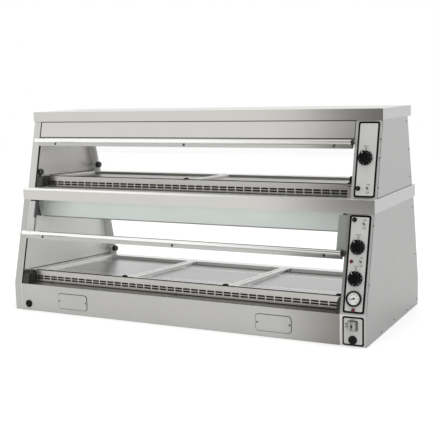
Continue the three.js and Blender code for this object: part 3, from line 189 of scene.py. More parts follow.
strip_steel = finish("slotted_strip_sheet", (0.50, 0.485, 0.46), 1.0, 0.30, cloud=0.08)
# Painted shade: the apron under the lower strip is dark grey.
apron_shade_steel = finish("apron_shade_sheet", (0.34, 0.325, 0.295), 1.0, 0.40, cloud=0.15)
# Painted shadow: a dark sheet for the line along the lower edge of the lower canopy.
shadow_line_steel = finish("shadow_line_sheet", (0.20, 0.19, 0.165), 1.0, 0.45, cloud=0.15)
# Painted shade: the side covers are darker than the other sheets.
side_steel = {"lower": finish("side_cover_sheet", (0.375, 0.377, 0.37), 1.0, 0.40, cloud=0.05)}
side_steel["upper"] = copy_of(side_steel["lower"], "upper_side_cover_sheet")
print("steels:", len(bpy.data.materials))

# %% [markdown]
# The plastics are mostly black, slightly worn and never quite even. Moulded plastic has a fine
# texture with no direction, so the same helper takes an even grain. Small turned and plated
# fittings have a coarser one.

# %% Plastics, fittings, lamps and heater
EVEN = (900, 900, 900)
DULL_SHINE = 0.12

def plastic(name, color, roughness, depth, cloud, **more):
    return finish(name, color, 0.0, roughness, grain=EVEN, depth=depth, cloud=cloud, **more)

def fitting(name, color, roughness):
    return finish(name, color, 1.0, roughness, grain=(400, 400, 400), cloud=0.15)

black = plastic("black_moulding", (0.006, 0.006, 0.0065), 0.28, 0.04, 0.2, shine=DULL_SHINE)
rubber = plastic("black_rubber", (0.008, 0.008, 0.008), 0.75, 0.08, 0.25)
white_ink = plastic("white_ink", (0.75, 0.75, 0.73), 0.5, 0.02, 0.05)
black_ink = plastic("black_ink", (0.02, 0.02, 0.02), 0.5, 0.02, 0.1)
grey = plastic("grey_moulding", (0.40, 0.41, 0.40), 0.45, 0.05, 0.08)
dark_moulding = plastic("dark_moulding", (0.020, 0.020, 0.018), 0.40, 0.05, 0.25)
worn_moulding = plastic("worn_moulding", (0.085, 0.084, 0.068), 0.45, 0.05, 0.25)
red = plastic("red_lens", (0.115, 0.006, 0.016), 0.20, 0.01, 0.15)
screw_steel = fitting("screw_steel", (0.07, 0.066, 0.06), 0.40)
brass = fitting("dull_brass", (0.30, 0.20, 0.10), 0.40)
switch_steel = fitting("switch_steel", (0.16, 0.155, 0.15), 0.25)
heater = finish("heater_sheath", (0.12, 0.11, 0.10), 1.0, 0.55, grain=(60, 60, 60), depth=0.1,
                cloud=0.3)
lamp = finish("lamp_quartz", (0.86, 0.80, 0.68), 0.0, 0.22, grain=(30, 400, 400))
print("finishes so far:", len(bpy.data.materials))

# %% [markdown]
# The glass is toughened float glass, which has a faint green tint. Light that passes through it is
# barely changed, so the pane is almost wholly transparent with a thin glossy skin, which keeps the
# inside of the case bright. A faint smear makes the gloss uneven.

# %% Glass
glass, tree, shader = new_material("float_glass")
where = add(tree, "TexCoord").outputs["Object"]
smear = add(tree, "TexNoise", {"Vector": where, "Scale": 9.0, "Detail": 5.0}).outputs["Fac"]
rough = add(tree, "MapRange", {"Value": smear, "To Min": 0.02, "To Max": 0.07}).outputs["Result"]
fill(tree, shader, {"Base Color": (0.84, 0.93, 0.90, 1), "IOR": 1.45, "Alpha": 0.025,
                    "Roughness": rough})
print("glass ready")

# %% [markdown]
# A pattern such as a border or a row of marks lies in the plane of its sheet. So the Object
# coordinates are measured in the frame of that plane, and a second colour is laid over the finish
# wherever a factor is 1. The factor can be worked out from distances in the plane.

# %% Patterns in a plane
def plane_axes(tree, place):
    "The X, Y and Z of a plane, from Object coordinates."
    back = place.inverted()
    where = add(tree, "TexCoord").outputs["Object"]
    flat = add(tree, "Mapping", {"Vector": where, "Location": back.translation,
                                 "Rotation": back.to_euler()})
    return add(tree, "SeparateXYZ", {"Vector": flat.outputs["Vector"]}).outputs

def cover(mat, factor, other):
    "Lays another colour over a finish where a factor is 1."
    color = mat.node_tree.nodes["Principled BSDF"].inputs["Base Color"]
    mixed = blend(mat.node_tree, factor, color.links[0].from_socket, (*other, 1))
    mat.node_tree.links.new(mixed, color)

def distance(tree, x, y):
    squares = [step(tree, "MULTIPLY", side, side) for side in (x, y)]
    return step(tree, "SQRT", step(tree, "ADD", *squares))

print("pattern helpers ready")

# %% [markdown]
# The control plates are printed: a pale field inside a thick black border with rounded corners. The
# border is drawn by distance from the plate's edge, so it is as sharp as print at any size.

# %% Printed control plates
PRINT_BLACK = (0.004, 0.004, 0.0045)
PLATE_X, PLATE_WIDTH = 0.683, 0.074

def plate_finish(name, place, centre, size, border, corner):
    mat = finish(name, (0.57, 0.57, 0.555), 0.0, 0.42, grain=(500, 500, 500), cloud=0.03,
                 shine=DULL_SHINE)
    tree = mat.node_tree
    axes = plane_axes(tree, place @ Matrix.Translation((*centre, 0)))
    past = []
    for axis, length in zip("XY", size):
        reach = length / 2 - border - corner
        beyond = step(tree, "SUBTRACT", step(tree, "ABSOLUTE", axes[axis]), reach)
        past.append(step(tree, "MAXIMUM", beyond, 0.0))
    cover(mat, step(tree, "GREATER_THAN", distance(tree, *past), corner), PRINT_BLACK)
    return mat

def sloping_plate(name, place, foot, head, border):
    "A plate on a sloping front, between two heights above the ground."
    low, high = height_on(place, foot), height_on(place, head)
    print(name, "is", round(high - low, 3), "m long")
    return plate_finish(name, place, (PLATE_X, (low + high) / 2), (PLATE_WIDTH, high - low),
                        border, corner=0.004)

main_plate = sloping_plate("main_plate_print", LOWER, 0.112, 0.427, border=0.0068)
upper_plate = sloping_plate("upper_plate_print", UPPER, 0.482, 0.732, border=0.0062)
isolator_plate = plate_finish("isolator_plate_print", PLINTH, (PLATE_X, 0.052),
                              (PLATE_WIDTH, 0.098), border=0.0055, corner=0.005)

# %% [markdown]
# The thermometer is a white dial in a thick black bezel. Both are one turned solid, so the bezel is
# told from the dial by its distance from the middle of the gauge.

# %% Thermometer dial
GAUGE = middle_on("thermometer_case", LOWER)
DIAL_RADIUS = 0.0208
gauge_face = finish("thermometer_dial", (0.80, 0.80, 0.78), 0.0, 0.35, grain=EVEN, cloud=0.03,
                    shine=DULL_SHINE)
tree = gauge_face.node_tree
axes = plane_axes(tree, LOWER @ Matrix.Translation(GAUGE))
from_middle = distance(tree, axes["X"], axes["Y"])
cover(gauge_face, step(tree, "GREATER_THAN", from_middle, DIAL_RADIUS), PRINT_BLACK)
print("thermometer at", [round(v, 4) for v in LOWER @ GAUGE])

# %% [markdown]
# Some sheets are not one tone all over, and most of these tones are painted light and shade. The tops
# of the caps get painted light and their side faces painted shade, and the upper edge of the lower cap
# has a painted highlight towards the left. The tube of a rail has a painted highlight that makes it
# brighter than the strip behind it, and dulls towards its nut at the right. A helper blends a finish
# into another colour along the axes of planes. Where the metal would only mirror something dark, it
# makes it less of a mirror too.

# %% A helper for tones
def along(axis, start, end):
    "A ramp along an axis of the case itself."
    return WORLD, axis, start, end

def tone(mat, other, *ramps, metal=None):
    "Blends a finish into another colour where all the ramps have reached their ends."
    tree = mat.node_tree
    factor = None
    for place, axis, start, end in ramps:
        distances = {"Value": plane_axes(tree, place)[axis], "From Min": start, "From Max": end}
        fade = add(tree, "MapRange", distances).outputs["Result"]
        factor = fade if factor is None else step(tree, "MULTIPLY", factor, fade)
    cover(mat, factor, other)
    if metal is not None:
        socket = tree.nodes["Principled BSDF"].inputs["Metallic"]
        before = socket.links[0].from_socket if socket.is_linked else socket.default_value
        tree.links.new(add(tree, "Mix", {0: factor, 2: before, 3: metal}).outputs[0], socket)

print("tone helper ready")

# %% Tones of the caps and the rails
# Painted light on the tops of the caps: paler, and less metallic.
TOP_LIGHT_COLOR = {"lower": (0.88, 0.875, 0.86), "upper": (0.66, 0.655, 0.64)}
TOP_LIGHT_METAL = {"lower": 0.6, "upper": 0.85}

# Painted shade on the side faces of the caps; painted highlight on the tube of each rail, dulled to
# the right.
for tier, place in SLOPES.items():
    top = box_on(f"{tier}_cap", WORLD)[1].z
    tone(cap_steel[tier], (0.50, 0.505, 0.495), along("X", SIDE - 0.0010, SIDE + 0.0006))
    lit_top = along("Z", top - 0.0012, top - 0.0002)
    tone(cap_steel[tier], TOP_LIGHT_COLOR[tier], lit_top, metal=TOP_LIGHT_METAL[tier])
    tube_highlight = (place, "Z", 0.0028, 0.0045)
    tone(rail_steel[tier], (0.96, 0.96, 0.95), tube_highlight)
    tone(rail_steel[tier], (0.70, 0.69, 0.66), tube_highlight, along("X", 0.05, 0.45))
    at_nut = along("X", BAY_RIGHT - 0.0088, BAY_RIGHT - 0.0084)
    tone(rail_steel[tier], (0.10, 0.085, 0.07), at_nut)
# Painted highlight on the upper front edge of the lower cap, fading out to the right.
edge_highlight = along("Z", 0.4690, 0.4715)
tone(cap_steel["lower"], (0.97, 0.965, 0.95), edge_highlight, along("X", 0.30, -0.25))
print("caps and rails toned")

# %% [markdown]
# The skin of a left wall that faces the food is brighter than its outer skin: painted light. The
# channels of the glass stand on it, and get painted light too, most on the rear ones, as if lit from
# behind. Beside the lower canopy they lie in a dark gap, whose shade is painted. A tone that follows
# the planes of the wall is enough for this, with no new piece.

# %% Tones of the left walls
# Painted light on the inner skin and on the glass channels, most on the rear ones.
for tier, inner in (("lower", (0.84, 0.84, 0.82)), ("upper", (0.66, 0.65, 0.63))):
    tone(wall_steel[tier], inner, along("X", BAY_LEFT - 0.0020, BAY_LEFT - 0.0004), metal=0.45)
    lit_channel = along("X", BAY_LEFT + 0.0003, BAY_LEFT + 0.0006)
    tone(wall_steel[tier], (0.60, 0.595, 0.58), lit_channel)
    tone(wall_steel[tier], (0.90, 0.90, 0.88), lit_channel, along("Y", 0.10, 0.11), metal=0.0)
# Painted shade in the dark gap beside the lower canopy.
shaded_gap = [along("Z", 0.3612, 0.3622), along("Y", -0.1865, -0.1875),
                 along("X", -0.6985, -0.6975)]
behind_face = (LOWER, "Z", -0.0015, -0.0025)
past_skin = along("X", -0.6735, -0.6725)
tone(wall_steel["lower"], (0.07, 0.075, 0.07), *shaded_gap, behind_face, metal=0.0)
tone(wall_steel["lower"], (0.10, 0.105, 0.10), *shaded_gap, past_skin, metal=0.0)
print("left walls toned")

# %% [markdown]
# The other sheets need less, and most of it is painted light and shade. The lower canopy gets painted
# light at its left end. The housings get painted shade towards the food, the lower one most, and
# painted light beside their plates. Painted shade darkens the plinth to the right, painted light turns
# the side covers paler upwards, and a dark line marks the foot of the upper one.

# %% Tones of the canopy, the housings, the plinth and the side covers
# Painted light at the left end of the lower canopy.
tone(canopy_steel, (0.66, 0.70, 0.67), along("X", -0.50, -0.60), metal=0.15)
inside_bay = along("X", BAY_RIGHT + 0.0004, BAY_RIGHT - 0.0004)
# Painted shade on the lower housing's face towards the food.
tone(housing_steel["lower"], (0.34, 0.36, 0.34), inside_bay, metal=0.4)
# Painted light beside the plates of both housings.
for mat in housing_steel.values():
    tone(mat, (0.52, 0.52, 0.51), along("X", 0.700, 0.714), metal=0.2)
# Painted shade on the upper housing towards the food.
tone(housing_steel["upper"], (0.46, 0.46, 0.45), along("X", 0.655, 0.645), metal=0.2)
# Painted shade: the plinth darkens to the right.
tone(shaded_plinth_steel, (0.22, 0.212, 0.195), along("X", 0.42, 0.66))
# Painted light: the side covers turn paler upwards.
for mat in side_steel.values():
    tone(mat, (0.45, 0.452, 0.445), along("Z", 0.04, 0.62))
tone(side_steel["upper"], (0.06, 0.058, 0.055), along("Z", 0.4815, 0.4809))
print("other sheets toned")

# %% [markdown]
# The decks fall a little to the rear. A plane for each deck starts at the front edge of its air
# strip and lies in the tops of the rims of the pans, so it carries what lies on a deck.

# %% Planes of the decks
DECK_TILT = {"lower": 3.59, "upper": 1.84}

def deck_plane(tier):
    tilt = math.radians(DECK_TILT[tier])
    top = box_on(f"{tier}_vent_strip", WORLD)[1].z
    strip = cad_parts[f"{tier}_vent_strip"].data.vertices
    front = min(v.co.y for v in strip if v.co.z > top - 0.001)
    return plane((0, front, top), (1, 0, 0), (0, math.sin(tilt), math.cos(tilt)))

DECKS = {tier: deck_plane(tier) for tier in TIERS}
print("decks start at", [round(place.translation.y, 4) for place in DECKS.values()])

# %% [markdown]
# The rims of the pans get a painted highlight. Their floors are pierced with two rows of fine holes,
# drawn as pale dots: painted highlights on their raised edges. The slots of the air strips are drawn
# as dark marks, painted shade in the slots. Both are rows of equal marks, so one helper draws them.

# %% Marks on the pans
PAN_NAMES = {"lower": ["lower_pan_1", "lower_pan_2", "lower_pan_3"],
             "upper": ["upper_pan_1", "upper_pan_2"]}
FLANGE, RIM = 0.024, 0.015
ROW_SHARES = (-0.29, 0.27)

def marks_in_rows(mat, place, pitch, middle, width, rows, height, color, below=None):
    "Draws two rows of equal marks along X; each row is at a distance along Y."
    tree = mat.node_tree
    axes = plane_axes(tree, place)
    turns = step(tree, "MULTIPLY", step(tree, "SUBTRACT", axes["X"], middle - pitch / 2), 1 / pitch)
    away = step(tree, "ABSOLUTE", step(tree, "SUBTRACT", step(tree, "FRACT", turns), 0.5))
    on = step(tree, "LESS_THAN", away, width / pitch / 2)
    near = []
    for row in rows:
        off = step(tree, "ABSOLUTE", step(tree, "SUBTRACT", axes["Y"], row))
        near.append(step(tree, "LESS_THAN", off, height / 2))
    on = step(tree, "MULTIPLY", on, step(tree, "MAXIMUM", *near))
    if below is not None:
        on = step(tree, "MULTIPLY", on, step(tree, "LESS_THAN", axes["Z"], below))
    cover(mat, on, color)

# Painted light: the lower pans are paler towards the left.
tone(pan_steel["lower"], (0.55, 0.555, 0.55), along("X", -0.25, -0.62))
# Painted highlight on the rims; the pale dots mark the holes with painted highlights on their edges.
for tier, place in DECKS.items():
    low, high = box_on(PAN_NAMES[tier][0], place)
    front, rear = low.y + FLANGE, high.y - RIM
    rows = [(front + rear) / 2 + share * (rear - front) for share in ROW_SHARES]
    tone(pan_steel[tier], (0.90, 0.90, 0.88), (place, "Z", -0.0016, -0.0008), metal=0.6)
    marks_in_rows(pan_steel[tier], place, pitch=0.0110, middle=0.0, width=0.0055, rows=rows,
                  height=0.026, color=(0.88, 0.88, 0.86), below=low.z + 0.003)
    print(tier, "pans are", round(-low.z * 1000, 1), "mm deep")

# %% [markdown]
# The air strips take painted shade in their slots, and painted shade where the sheet turns under.
# The block at the right end of the upper strip has a dark top, and the apron a painted shadow along
# its lower edge. The rear knobs are black heads on steel stems, told apart by the distance from the
# tip of the head.

# %% Finishes of the strips and the knobs
SLOT_PITCH = 0.0334
HEAD_LENGTH = 0.0155
FADE = 0.0005

# Painted shadow along the lower edge of the apron.
tone(apron_shade_steel, (0.03, 0.028, 0.025), along("Z", 0.1089, 0.1086))
end_finish = copy_of(strip_steel, "strip_end_sheet")
tone(end_finish, (0.012, 0.012, 0.012), along("Z", 0.5155, 0.5160))
knob_finish = copy_of(dark_moulding, "knob_on_a_steel_stem")
left_tip = box_on("upper_rear_knob_left", WORLD)[1].x
right_tip = box_on("upper_rear_knob_right", WORLD)[0].x
for tip, way in ((left_tip, -1), (right_tip, 1)):
    stem = along("X", tip + way * HEAD_LENGTH, tip + way * (HEAD_LENGTH + FADE))
    tone(knob_finish, (0.60, 0.60, 0.58), stem)
strip_finish = {}
# Painted shade: dark marks over the slots, and a darker band where the sheet turns under.
for tier, place in DECKS.items():
    middle = middle_on(f"{tier}_vent_strip", WORLD)
    face = plane(place.translation, (1, 0, 0), (0, -1, 0))
    mat = copy_of(strip_steel, f"{tier}_slotted_strip_sheet")
    marks_in_rows(mat, face, pitch=SLOT_PITCH, middle=middle.x + SLOT_PITCH / 2, width=0.0288,
                  rows=(-0.0230, -0.0320), height=0.0066, color=(0.012, 0.011, 0.010))
    tone(mat, (0.13, 0.12, 0.105), (face, "Y", -0.0405, -0.0409))
    strip_finish[tier] = mat
print("strips finished:", len(strip_finish))

# %% [markdown]
# Each solid now takes its finish. The list goes from the particular names to the general ones, and
# the first match wins.

# %% Finishes on the solids
FINISHES = [
    ("lower_control_plate", main_plate), ("upper_control_plate", upper_plate),
    ("isolator_plate", isolator_plate), ("thermometer_case", gauge_face),
    ("isolator_lever", grey), ("pilot_lamp", red), ("heat_lamp", lamp), ("heater_loop", heater),
    ("glass", glass), ("thermostat_knob", black), ("rear_knob", knob_finish),
    ("upper_strip_end_right", end_finish), ("strip_end", dark_moulding), ("fuse_cap", black),
    ("cable_plug", black), ("thermometer_needle", black), ("toggle", switch_steel),
    ("plinth", shaded_plinth_steel), ("base_pan", shaded_plinth_steel), ("access_plate", shaded_plinth_steel),
    ("lower_canopy", canopy_steel), ("pan_bar", lit_deck_steel),
]
SHEETS = {"rail": rail_steel, "vent_strip": strip_finish, "right_cover": side_steel,
          "cap": cap_steel, "left_wall": wall_steel, "control_housing": housing_steel,
          "pan_": pan_steel}
FINISHES += [(f"{tier}_{part}", SHEETS[part][tier]) for part in SHEETS for tier in TIERS]
FINISHES += [("deck", lit_deck_steel), ("", steel)]
for name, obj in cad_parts.items():
    mat = next(m for part, m in FINISHES if part in name)
    obj.data.materials.clear()
    obj.data.materials.append(mat)
print("finished:", len(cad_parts))

# %% [markdown]
# The rest of this lesson adds the parts that are too small for the plain solids. They all follow one
# way: add a primitive at its size, open edit mode, pick faces by where they point, and bevel, inset or
# extrude them. When the shape is right it is put in its place and the place is baked into the mesh.

# %% Helpers for small parts
def deselect():
    bpy.ops.object.select_all(action="DESELECT")

def select_only(obj):
    deselect()
    obj.select_set(True)
    bpy.context.view_layer.objects.active = obj

def fresh(operator, **sizes):
    "Adds a primitive with nothing else selected."
    deselect()
    operator(**sizes)
    return bpy.context.object

def open_edit(obj):
    select_only(obj)
    bpy.ops.object.mode_set(mode="EDIT")
    bpy.ops.mesh.select_mode(type="FACE")

def close_edit():
    bpy.ops.object.mode_set(mode="OBJECT")

def pick(obj, test):
    "Selects the faces that pass a test, in edit mode."
    mesh = bmesh.from_edit_mesh(obj.data)
    for face in mesh.faces:
        face.select_set(bool(test(face)))
    mesh.select_flush_mode()
    bmesh.update_edit_mesh(obj.data)

def settle(obj, place):
    "Puts an object in its place and bakes the place into its mesh."
    obj.matrix_world = place
    select_only(obj)
    bpy.ops.object.transform_apply(location=True, rotation=True, scale=True)
    return obj

def bevel_and_settle(obj, offset, segments, place):
    "Bevels what is selected, leaves edit mode and settles the piece."
    bpy.ops.mesh.bevel(offset=offset, segments=segments, affect="EDGES")
    close_edit()
    return settle(obj, place)

def twin(obj):
    other = obj.copy()
    other.data = obj.data.copy()
    bpy.context.collection.objects.link(other)
    return other

def gather(parts):
    "Joins several objects into the first one."
    deselect()
    for part in parts:
        part.select_set(True)
    bpy.context.view_layer.objects.active = parts[0]
    bpy.ops.object.join()
    return bpy.context.object

def dress(obj, name, mat, body="case"):
    "Names a piece, gives it its finish, and says which body carries it."
    obj.name = name
    obj.data.name = name
    obj.data.materials.clear()
    obj.data.materials.append(mat)
    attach(obj, body)
    return obj

print("helpers ready")

# %% [markdown]
# A screw with a low round head: a short cylinder whose top edge is bevelled into a dome, with a small
# socket sunk into the middle. It is modelled once. Every screw on the case is a copy of it.

# %% One screw
DOME_SHARE, RING_SHARE, SOCKET_SHARE = 0.38, 0.22, 0.5

def low_head_screw(radius=0.0034, height=0.0020):
    obj = fresh(bpy.ops.mesh.primitive_cylinder_add, vertices=20, radius=radius, depth=height,
                location=(0, 0, height / 2))
    open_edit(obj)
    pick(obj, lambda f: f.normal.z > 0.9)
    bpy.ops.mesh.bevel(offset=radius * DOME_SHARE, segments=3, affect="EDGES")
    pick(obj, lambda f: f.normal.z > 0.99 and len(f.verts) > 8)
    bpy.ops.mesh.inset(thickness=radius * RING_SHARE, depth=0)
    sunk = (0, 0, -height * SOCKET_SHARE)
    bpy.ops.mesh.extrude_region_move(TRANSFORM_OT_translate={"value": sunk})
    close_edit()
    bpy.ops.object.shade_smooth_by_angle(angle=math.radians(30))
    return obj

screw = low_head_screw()
rail_screw = low_head_screw(radius=0.0048, height=0.0030)
print("screw faces:", len(screw.data.polygons))

# %% [markdown]
# The screws hold the rails' strips, the two access plates and the right side cover. Their places were
# measured on the planes: along the case, up the slope, or from the front to the rear.

# %% Screws in their places
RAIL_FACE = 0.0025
RAIL_SCREWS = {"lower": (-0.615, -0.024, 0.565), "upper": (-0.614, -0.024, 0.563)}
PLATE_FACE, PLATE_MIDDLE = 0.0018, 0.050
PLATE_SCREWS = (-0.512, -0.389, 0.334, 0.457)
SIDE_SCREWS = ((0.077, 0.395), (0.030, 0.205), (0.554, 0.395), (0.597, 0.207), (0.624, 0.025),
               (0.165, 0.012), (0.319, 0.017), (0.489, 0.013), (0.155, 0.674), (0.144, 0.613),
               (0.129, 0.515), (0.469, 0.720), (0.496, 0.616), (0.520, 0.513))

def screw_set(name, places, pattern):
    parts = [settle(twin(pattern), place) for place in places]
    print(name, len(parts))
    return dress(gather(parts), name, screw_steel)

for tier, place in SLOPES.items():
    y = box_on(f"{tier}_rail", place)[0].y + 0.008
    screw_set(f"{tier}_rail_screws", [at(place, x, y, RAIL_FACE) for x in RAIL_SCREWS[tier]],
              rail_screw)
screw_set("access_plate_screws", [at(PLINTH, x, PLATE_MIDDLE, PLATE_FACE) for x in PLATE_SCREWS],
          screw)
screw_set("side_cover_screws", [at(RIGHT_SIDE, y, z) for y, z in SIDE_SCREWS], screw)
bpy.data.objects.remove(screw)
bpy.data.objects.remove(rail_screw)

# %% [markdown]
# Bars and flat pads with soft edges make the seals and the marks: a cube at its real size, all edges
# bevelled, or only the upright ones when the outline must be round. The first pads are thin black
# pads behind the two access plates, which draw a dark line round them: a painted shadow of the gap
# round each plate.

# %% Bars and pads
EDGE_SHARE = 0.15

def block(*size):
    "A cube at its real size, open for editing."
    obj = fresh(bpy.ops.mesh.primitive_cube_add, size=1)
    obj.dimensions = size
    bpy.ops.object.transform_apply(location=False, rotation=False, scale=True)
    open_edit(obj)
    return obj

def bar(size, place):
    obj = block(*size)
    bpy.ops.mesh.select_all(action="SELECT")
    return bevel_and_settle(obj, min(size) * EDGE_SHARE, 2, place)

def pad(width, height, thick, corner, place):
    obj = block(width, height, thick)
    mesh = bmesh.from_edit_mesh(obj.data)
    bpy.ops.mesh.select_mode(type="EDGE")
    for edge in mesh.edges:
        run = edge.verts[0].co - edge.verts[1].co
        edge.select_set(abs(run.z) > thick / 2)
    bmesh.update_edit_mesh(obj.data)
    return bevel_and_settle(obj, corner, 6, place)

# Painted shadow: a black pad a little larger than each plate draws the gap round it.
for side, x in (("left", -0.4505), ("right", 0.3955)):
    shadow_pad = pad(0.1370, 0.0620, thick=0.00026, corner=0.0135,
               place=at(PLINTH, x, PLATE_MIDDLE, 0.00015))
    dress(shadow_pad, f"access_plate_{side}_seal", rubber)
print("seals behind the access plates")

# %% [markdown]
# A thin black bar lies in the gap between the face of the left side and the skin behind it. It shows
# as a thin black line along the sloping edge, on the whole upper tier and below the rail on the lower.

# %% Edging on the left side
def edging(tier, stop, width, gap, thick):
    "A bar up the slope that ends a gap short of a solid."
    length = box_on(stop, SLOPES[tier])[0].y
    place = at(SLOPES[tier], BAY_LEFT + width / 2 + 0.00005, length / 2, -0.0035)
    piece = bar((width, length - gap, thick), place)
    dress(piece, f"{tier}_left_edging", rubber)
    print(tier, "edging", round(length, 3))

edging("lower", "lower_rail", width=0.0035, gap=0.002, thick=0.005)
edging("upper", "upper_canopy", width=0.0045, gap=0.004, thick=0.006)

# %% [markdown]
# Behind the slots of each air strip a black sheet stands for the shade there: painted shade. Thin
# dark seals run in the joints of the decks: in front of the pans, between them, and along the wall.

# %% Painted shade behind the strips, and seals of the decks
# Painted shade behind the slots: a thin black sheet.
for tier, place in DECKS.items():
    low, high = box_on(f"{tier}_vent_strip", WORLD)
    middle, wide = (low.x + high.x) / 2, high.x - low.x
    upright = plane((middle, *place.translation.yz), (1, 0, 0), (0, -1, 0))
    shade_sheet = bar((wide - 0.004, 0.018, 0.0010), at(upright, 0, -0.0275, -0.0024))
    dress(shade_sheet, f"{tier}_strip_backing", rubber)
    wall, ledge = box_on(f"{tier}_deck", place)
    pan_low = box_on(PAN_NAMES[tier][0], place)[0]
    pan_high = box_on(PAN_NAMES[tier][-1], place)[1]
    by_wall = at(place, BAY_LEFT + 0.0013, (wall.y + ledge.y) / 2, 0.0011)
    seals = [bar((wide, 0.0006, 0.0036), at(place, middle, pan_low.y - 0.0004, 0.0009)),
             bar((0.0020, ledge.y - wall.y, 0.0018), by_wall)]
    for name in PAN_NAMES[tier][:-1]:
        edge = box_on(name, place)[1].x + 0.0008
        between = at(place, edge, (pan_low.y + pan_high.y) / 2, -0.0004)
        seals.append(bar((0.0011, pan_high.y - pan_low.y, 0.0016), between))
    dress(gather(seals), f"{tier}_deck_seals", rubber)
    print(tier, "seals", len(seals))

# %% [markdown]
# A dark grey apron closes the gap under the lower strip; its tone is painted shade under the strip.
# In front of the upper strip a thin foot lies on the lower cap, and its front edge has a painted
# shadow line. Both are plain bars.

# %% Apron of the lower strip and foot of the upper one
APRON_HEIGHT = 0.1099
TOE = 0.036
TOE_SHORT = 0.020

low, high = box_on("lower_vent_strip", WORLD)
under_strip = ((low.x + high.x) / 2, DECKS["lower"].translation.y + 0.0010, APRON_HEIGHT)
apron = bar((high.x - low.x, 0.0012, 0.0072), Matrix.Translation(under_strip))
dress(apron, "lower_strip_apron", apron_shade_steel)

low, high = box_on("upper_vent_strip", WORLD)
on_cap = ((low.x + high.x + TOE_SHORT) / 2, low.y - TOE / 2, low.z + 0.0012)
toe = bar((high.x - low.x - TOE_SHORT, TOE, 0.0020), Matrix.Translation(on_cap))
toe_steel = copy_of(strip_steel, "strip_toe_sheet")
# Painted shadow along the front edge of the foot.
shadow_edge = along("Y", low.y - TOE + 0.0065, low.y - TOE + 0.0055)
tone(toe_steel, (0.04, 0.038, 0.035), shadow_edge, metal=0.3)
dress(toe, "upper_strip_toe", toe_steel)
print("apron and foot ready")

# %% [markdown]
# Each pan's rim has a notch near the right end of its front edge, and a small black half-round stood
# there is painted shade in the notch. It is half of a short cylinder: cut in the middle, lowered, and
# stood on the rim. It rides with its pan.

# %% Painted shade in the notches of the pans
def half_round(radius, height, thick):
    obj = fresh(bpy.ops.mesh.primitive_cylinder_add, vertices=28, radius=radius, depth=thick,
                rotation=(math.pi / 2, 0, 0))
    bpy.ops.object.transform_apply(location=False, rotation=True, scale=False)
    open_edit(obj)
    bpy.ops.mesh.select_all(action="SELECT")
    bpy.ops.mesh.bisect(plane_co=(0, 0, 0), plane_no=(0, 0, 1), use_fill=True, clear_inner=True)
    bpy.ops.mesh.select_all(action="SELECT")
    bpy.ops.transform.resize(value=(1, 1, height / radius), center_override=(0, 0, 0))
    bpy.ops.mesh.bevel(offset=thick * EDGE_SHARE, segments=1, affect="EDGES")
    close_edit()
    return obj

pattern = half_round(radius=0.0125, height=0.0062, thick=0.0024)
# Painted shade: a black half-round in the notch of each pan's rim.
for tier, place in DECKS.items():
    for name in PAN_NAMES[tier]:
        low, high = box_on(name, place)
        notch_shade = settle(twin(pattern), at(place, high.x - 0.020, low.y + 0.0135, 0.0002))
        dress(notch_shade, f"{name}_grip", rubber, name)
bpy.data.objects.remove(pattern)
print("notch_shades:", sum(len(names) for names in PAN_NAMES.values()))

# %% [markdown]
# Narrow dark joints frame the front of the upper canopy: one under the cap, one above the rail and
# one at each end. They are thin bars on the slope, joined into one piece.

# %% Joints round the upper canopy
JOINT_DEPTH, JOINT_OUT = 0.0008, 0.0003
foot = height_on(UPPER, box_on("upper_canopy", WORLD)[0].z)
head = height_on(UPPER, box_on("upper_cap", WORLD)[0].z)
rail_top = box_on("upper_rail", UPPER)[1].y
middle, wide = (BAY_LEFT + BAY_RIGHT) / 2, BAY_RIGHT - BAY_LEFT
ends = (foot + head) / 2
JOINTS = [(wide, 0.0030, middle, head - 0.0016),
          (wide, 0.0034, middle, max(foot, rail_top) + 0.0030),
          (0.0036, head - foot, BAY_LEFT + 0.0018, ends),
          (0.0024, head - foot, BAY_RIGHT - 0.0012, ends)]
joints = [bar((width, height, JOINT_DEPTH), at(UPPER, x, y, JOINT_OUT))
          for width, height, x, y in JOINTS]
dress(gather(joints), "upper_canopy_joints", rubber)
print("joints:", len(joints))

# %% [markdown]
# A painted shadow line, a thin dark bar, runs along the lower edge of the lower canopy behind the
# glass. At the left the canopy is closed by a small end sheet with a slanted edge, and a dark bar
# closes the top of the glass channel, as painted shade in the gap there.

# %% Painted shadow line, painted gap shade and end sheet of the lower canopy
CHANNEL_X, CHANNEL_WIDTH = -0.6820, 0.0290

def end_sheet(width, height, thick, cut, place):
    "A flat sheet whose lower left corner is pulled in."
    obj = block(width, thick, height)
    mesh = bmesh.from_edit_mesh(obj.data)
    bpy.ops.mesh.select_mode(type="VERT")
    for vert in mesh.verts:
        vert.select_set(vert.co.x < 0 and vert.co.z < 0)
    bmesh.update_edit_mesh(obj.data)
    bpy.ops.transform.translate(value=(cut, 0, 0))
    bpy.ops.mesh.select_all(action="SELECT")
    return bevel_and_settle(obj, thick * 0.2, 1, place)

low, high = box_on("lower_canopy", WORLD)
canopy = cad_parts["lower_canopy"].data.vertices
edge_y = min(v.co.y for v in canopy if v.co.z < low.z + 0.001)
tall, level = high.z - low.z, (low.z + high.z) / 2
# Painted shadow line along the lower edge of the canopy.
edge = bar((high.x - low.x - 0.004, 0.0016, 0.0034),
           Matrix.Translation(((low.x + high.x) / 2, edge_y - 0.0009, low.z + 0.0018)))
dress(edge, "lower_canopy_edge", shadow_line_steel)
# Painted shade: a black bar at the top of the glass channel.
gap_shade = bar((CHANNEL_WIDTH, 0.0040, tall), Matrix.Translation((CHANNEL_X, edge_y + 0.0060, level)))
dress(gap_shade, "lower_left_filler", rubber)
sheet = end_sheet(CHANNEL_WIDTH, tall, thick=0.0012, cut=0.0130,
                  place=Matrix.Translation((CHANNEL_X, edge_y + 0.0026, level)))
dress(sheet, "lower_canopy_end", canopy_steel)
print("lower canopy trimmed")

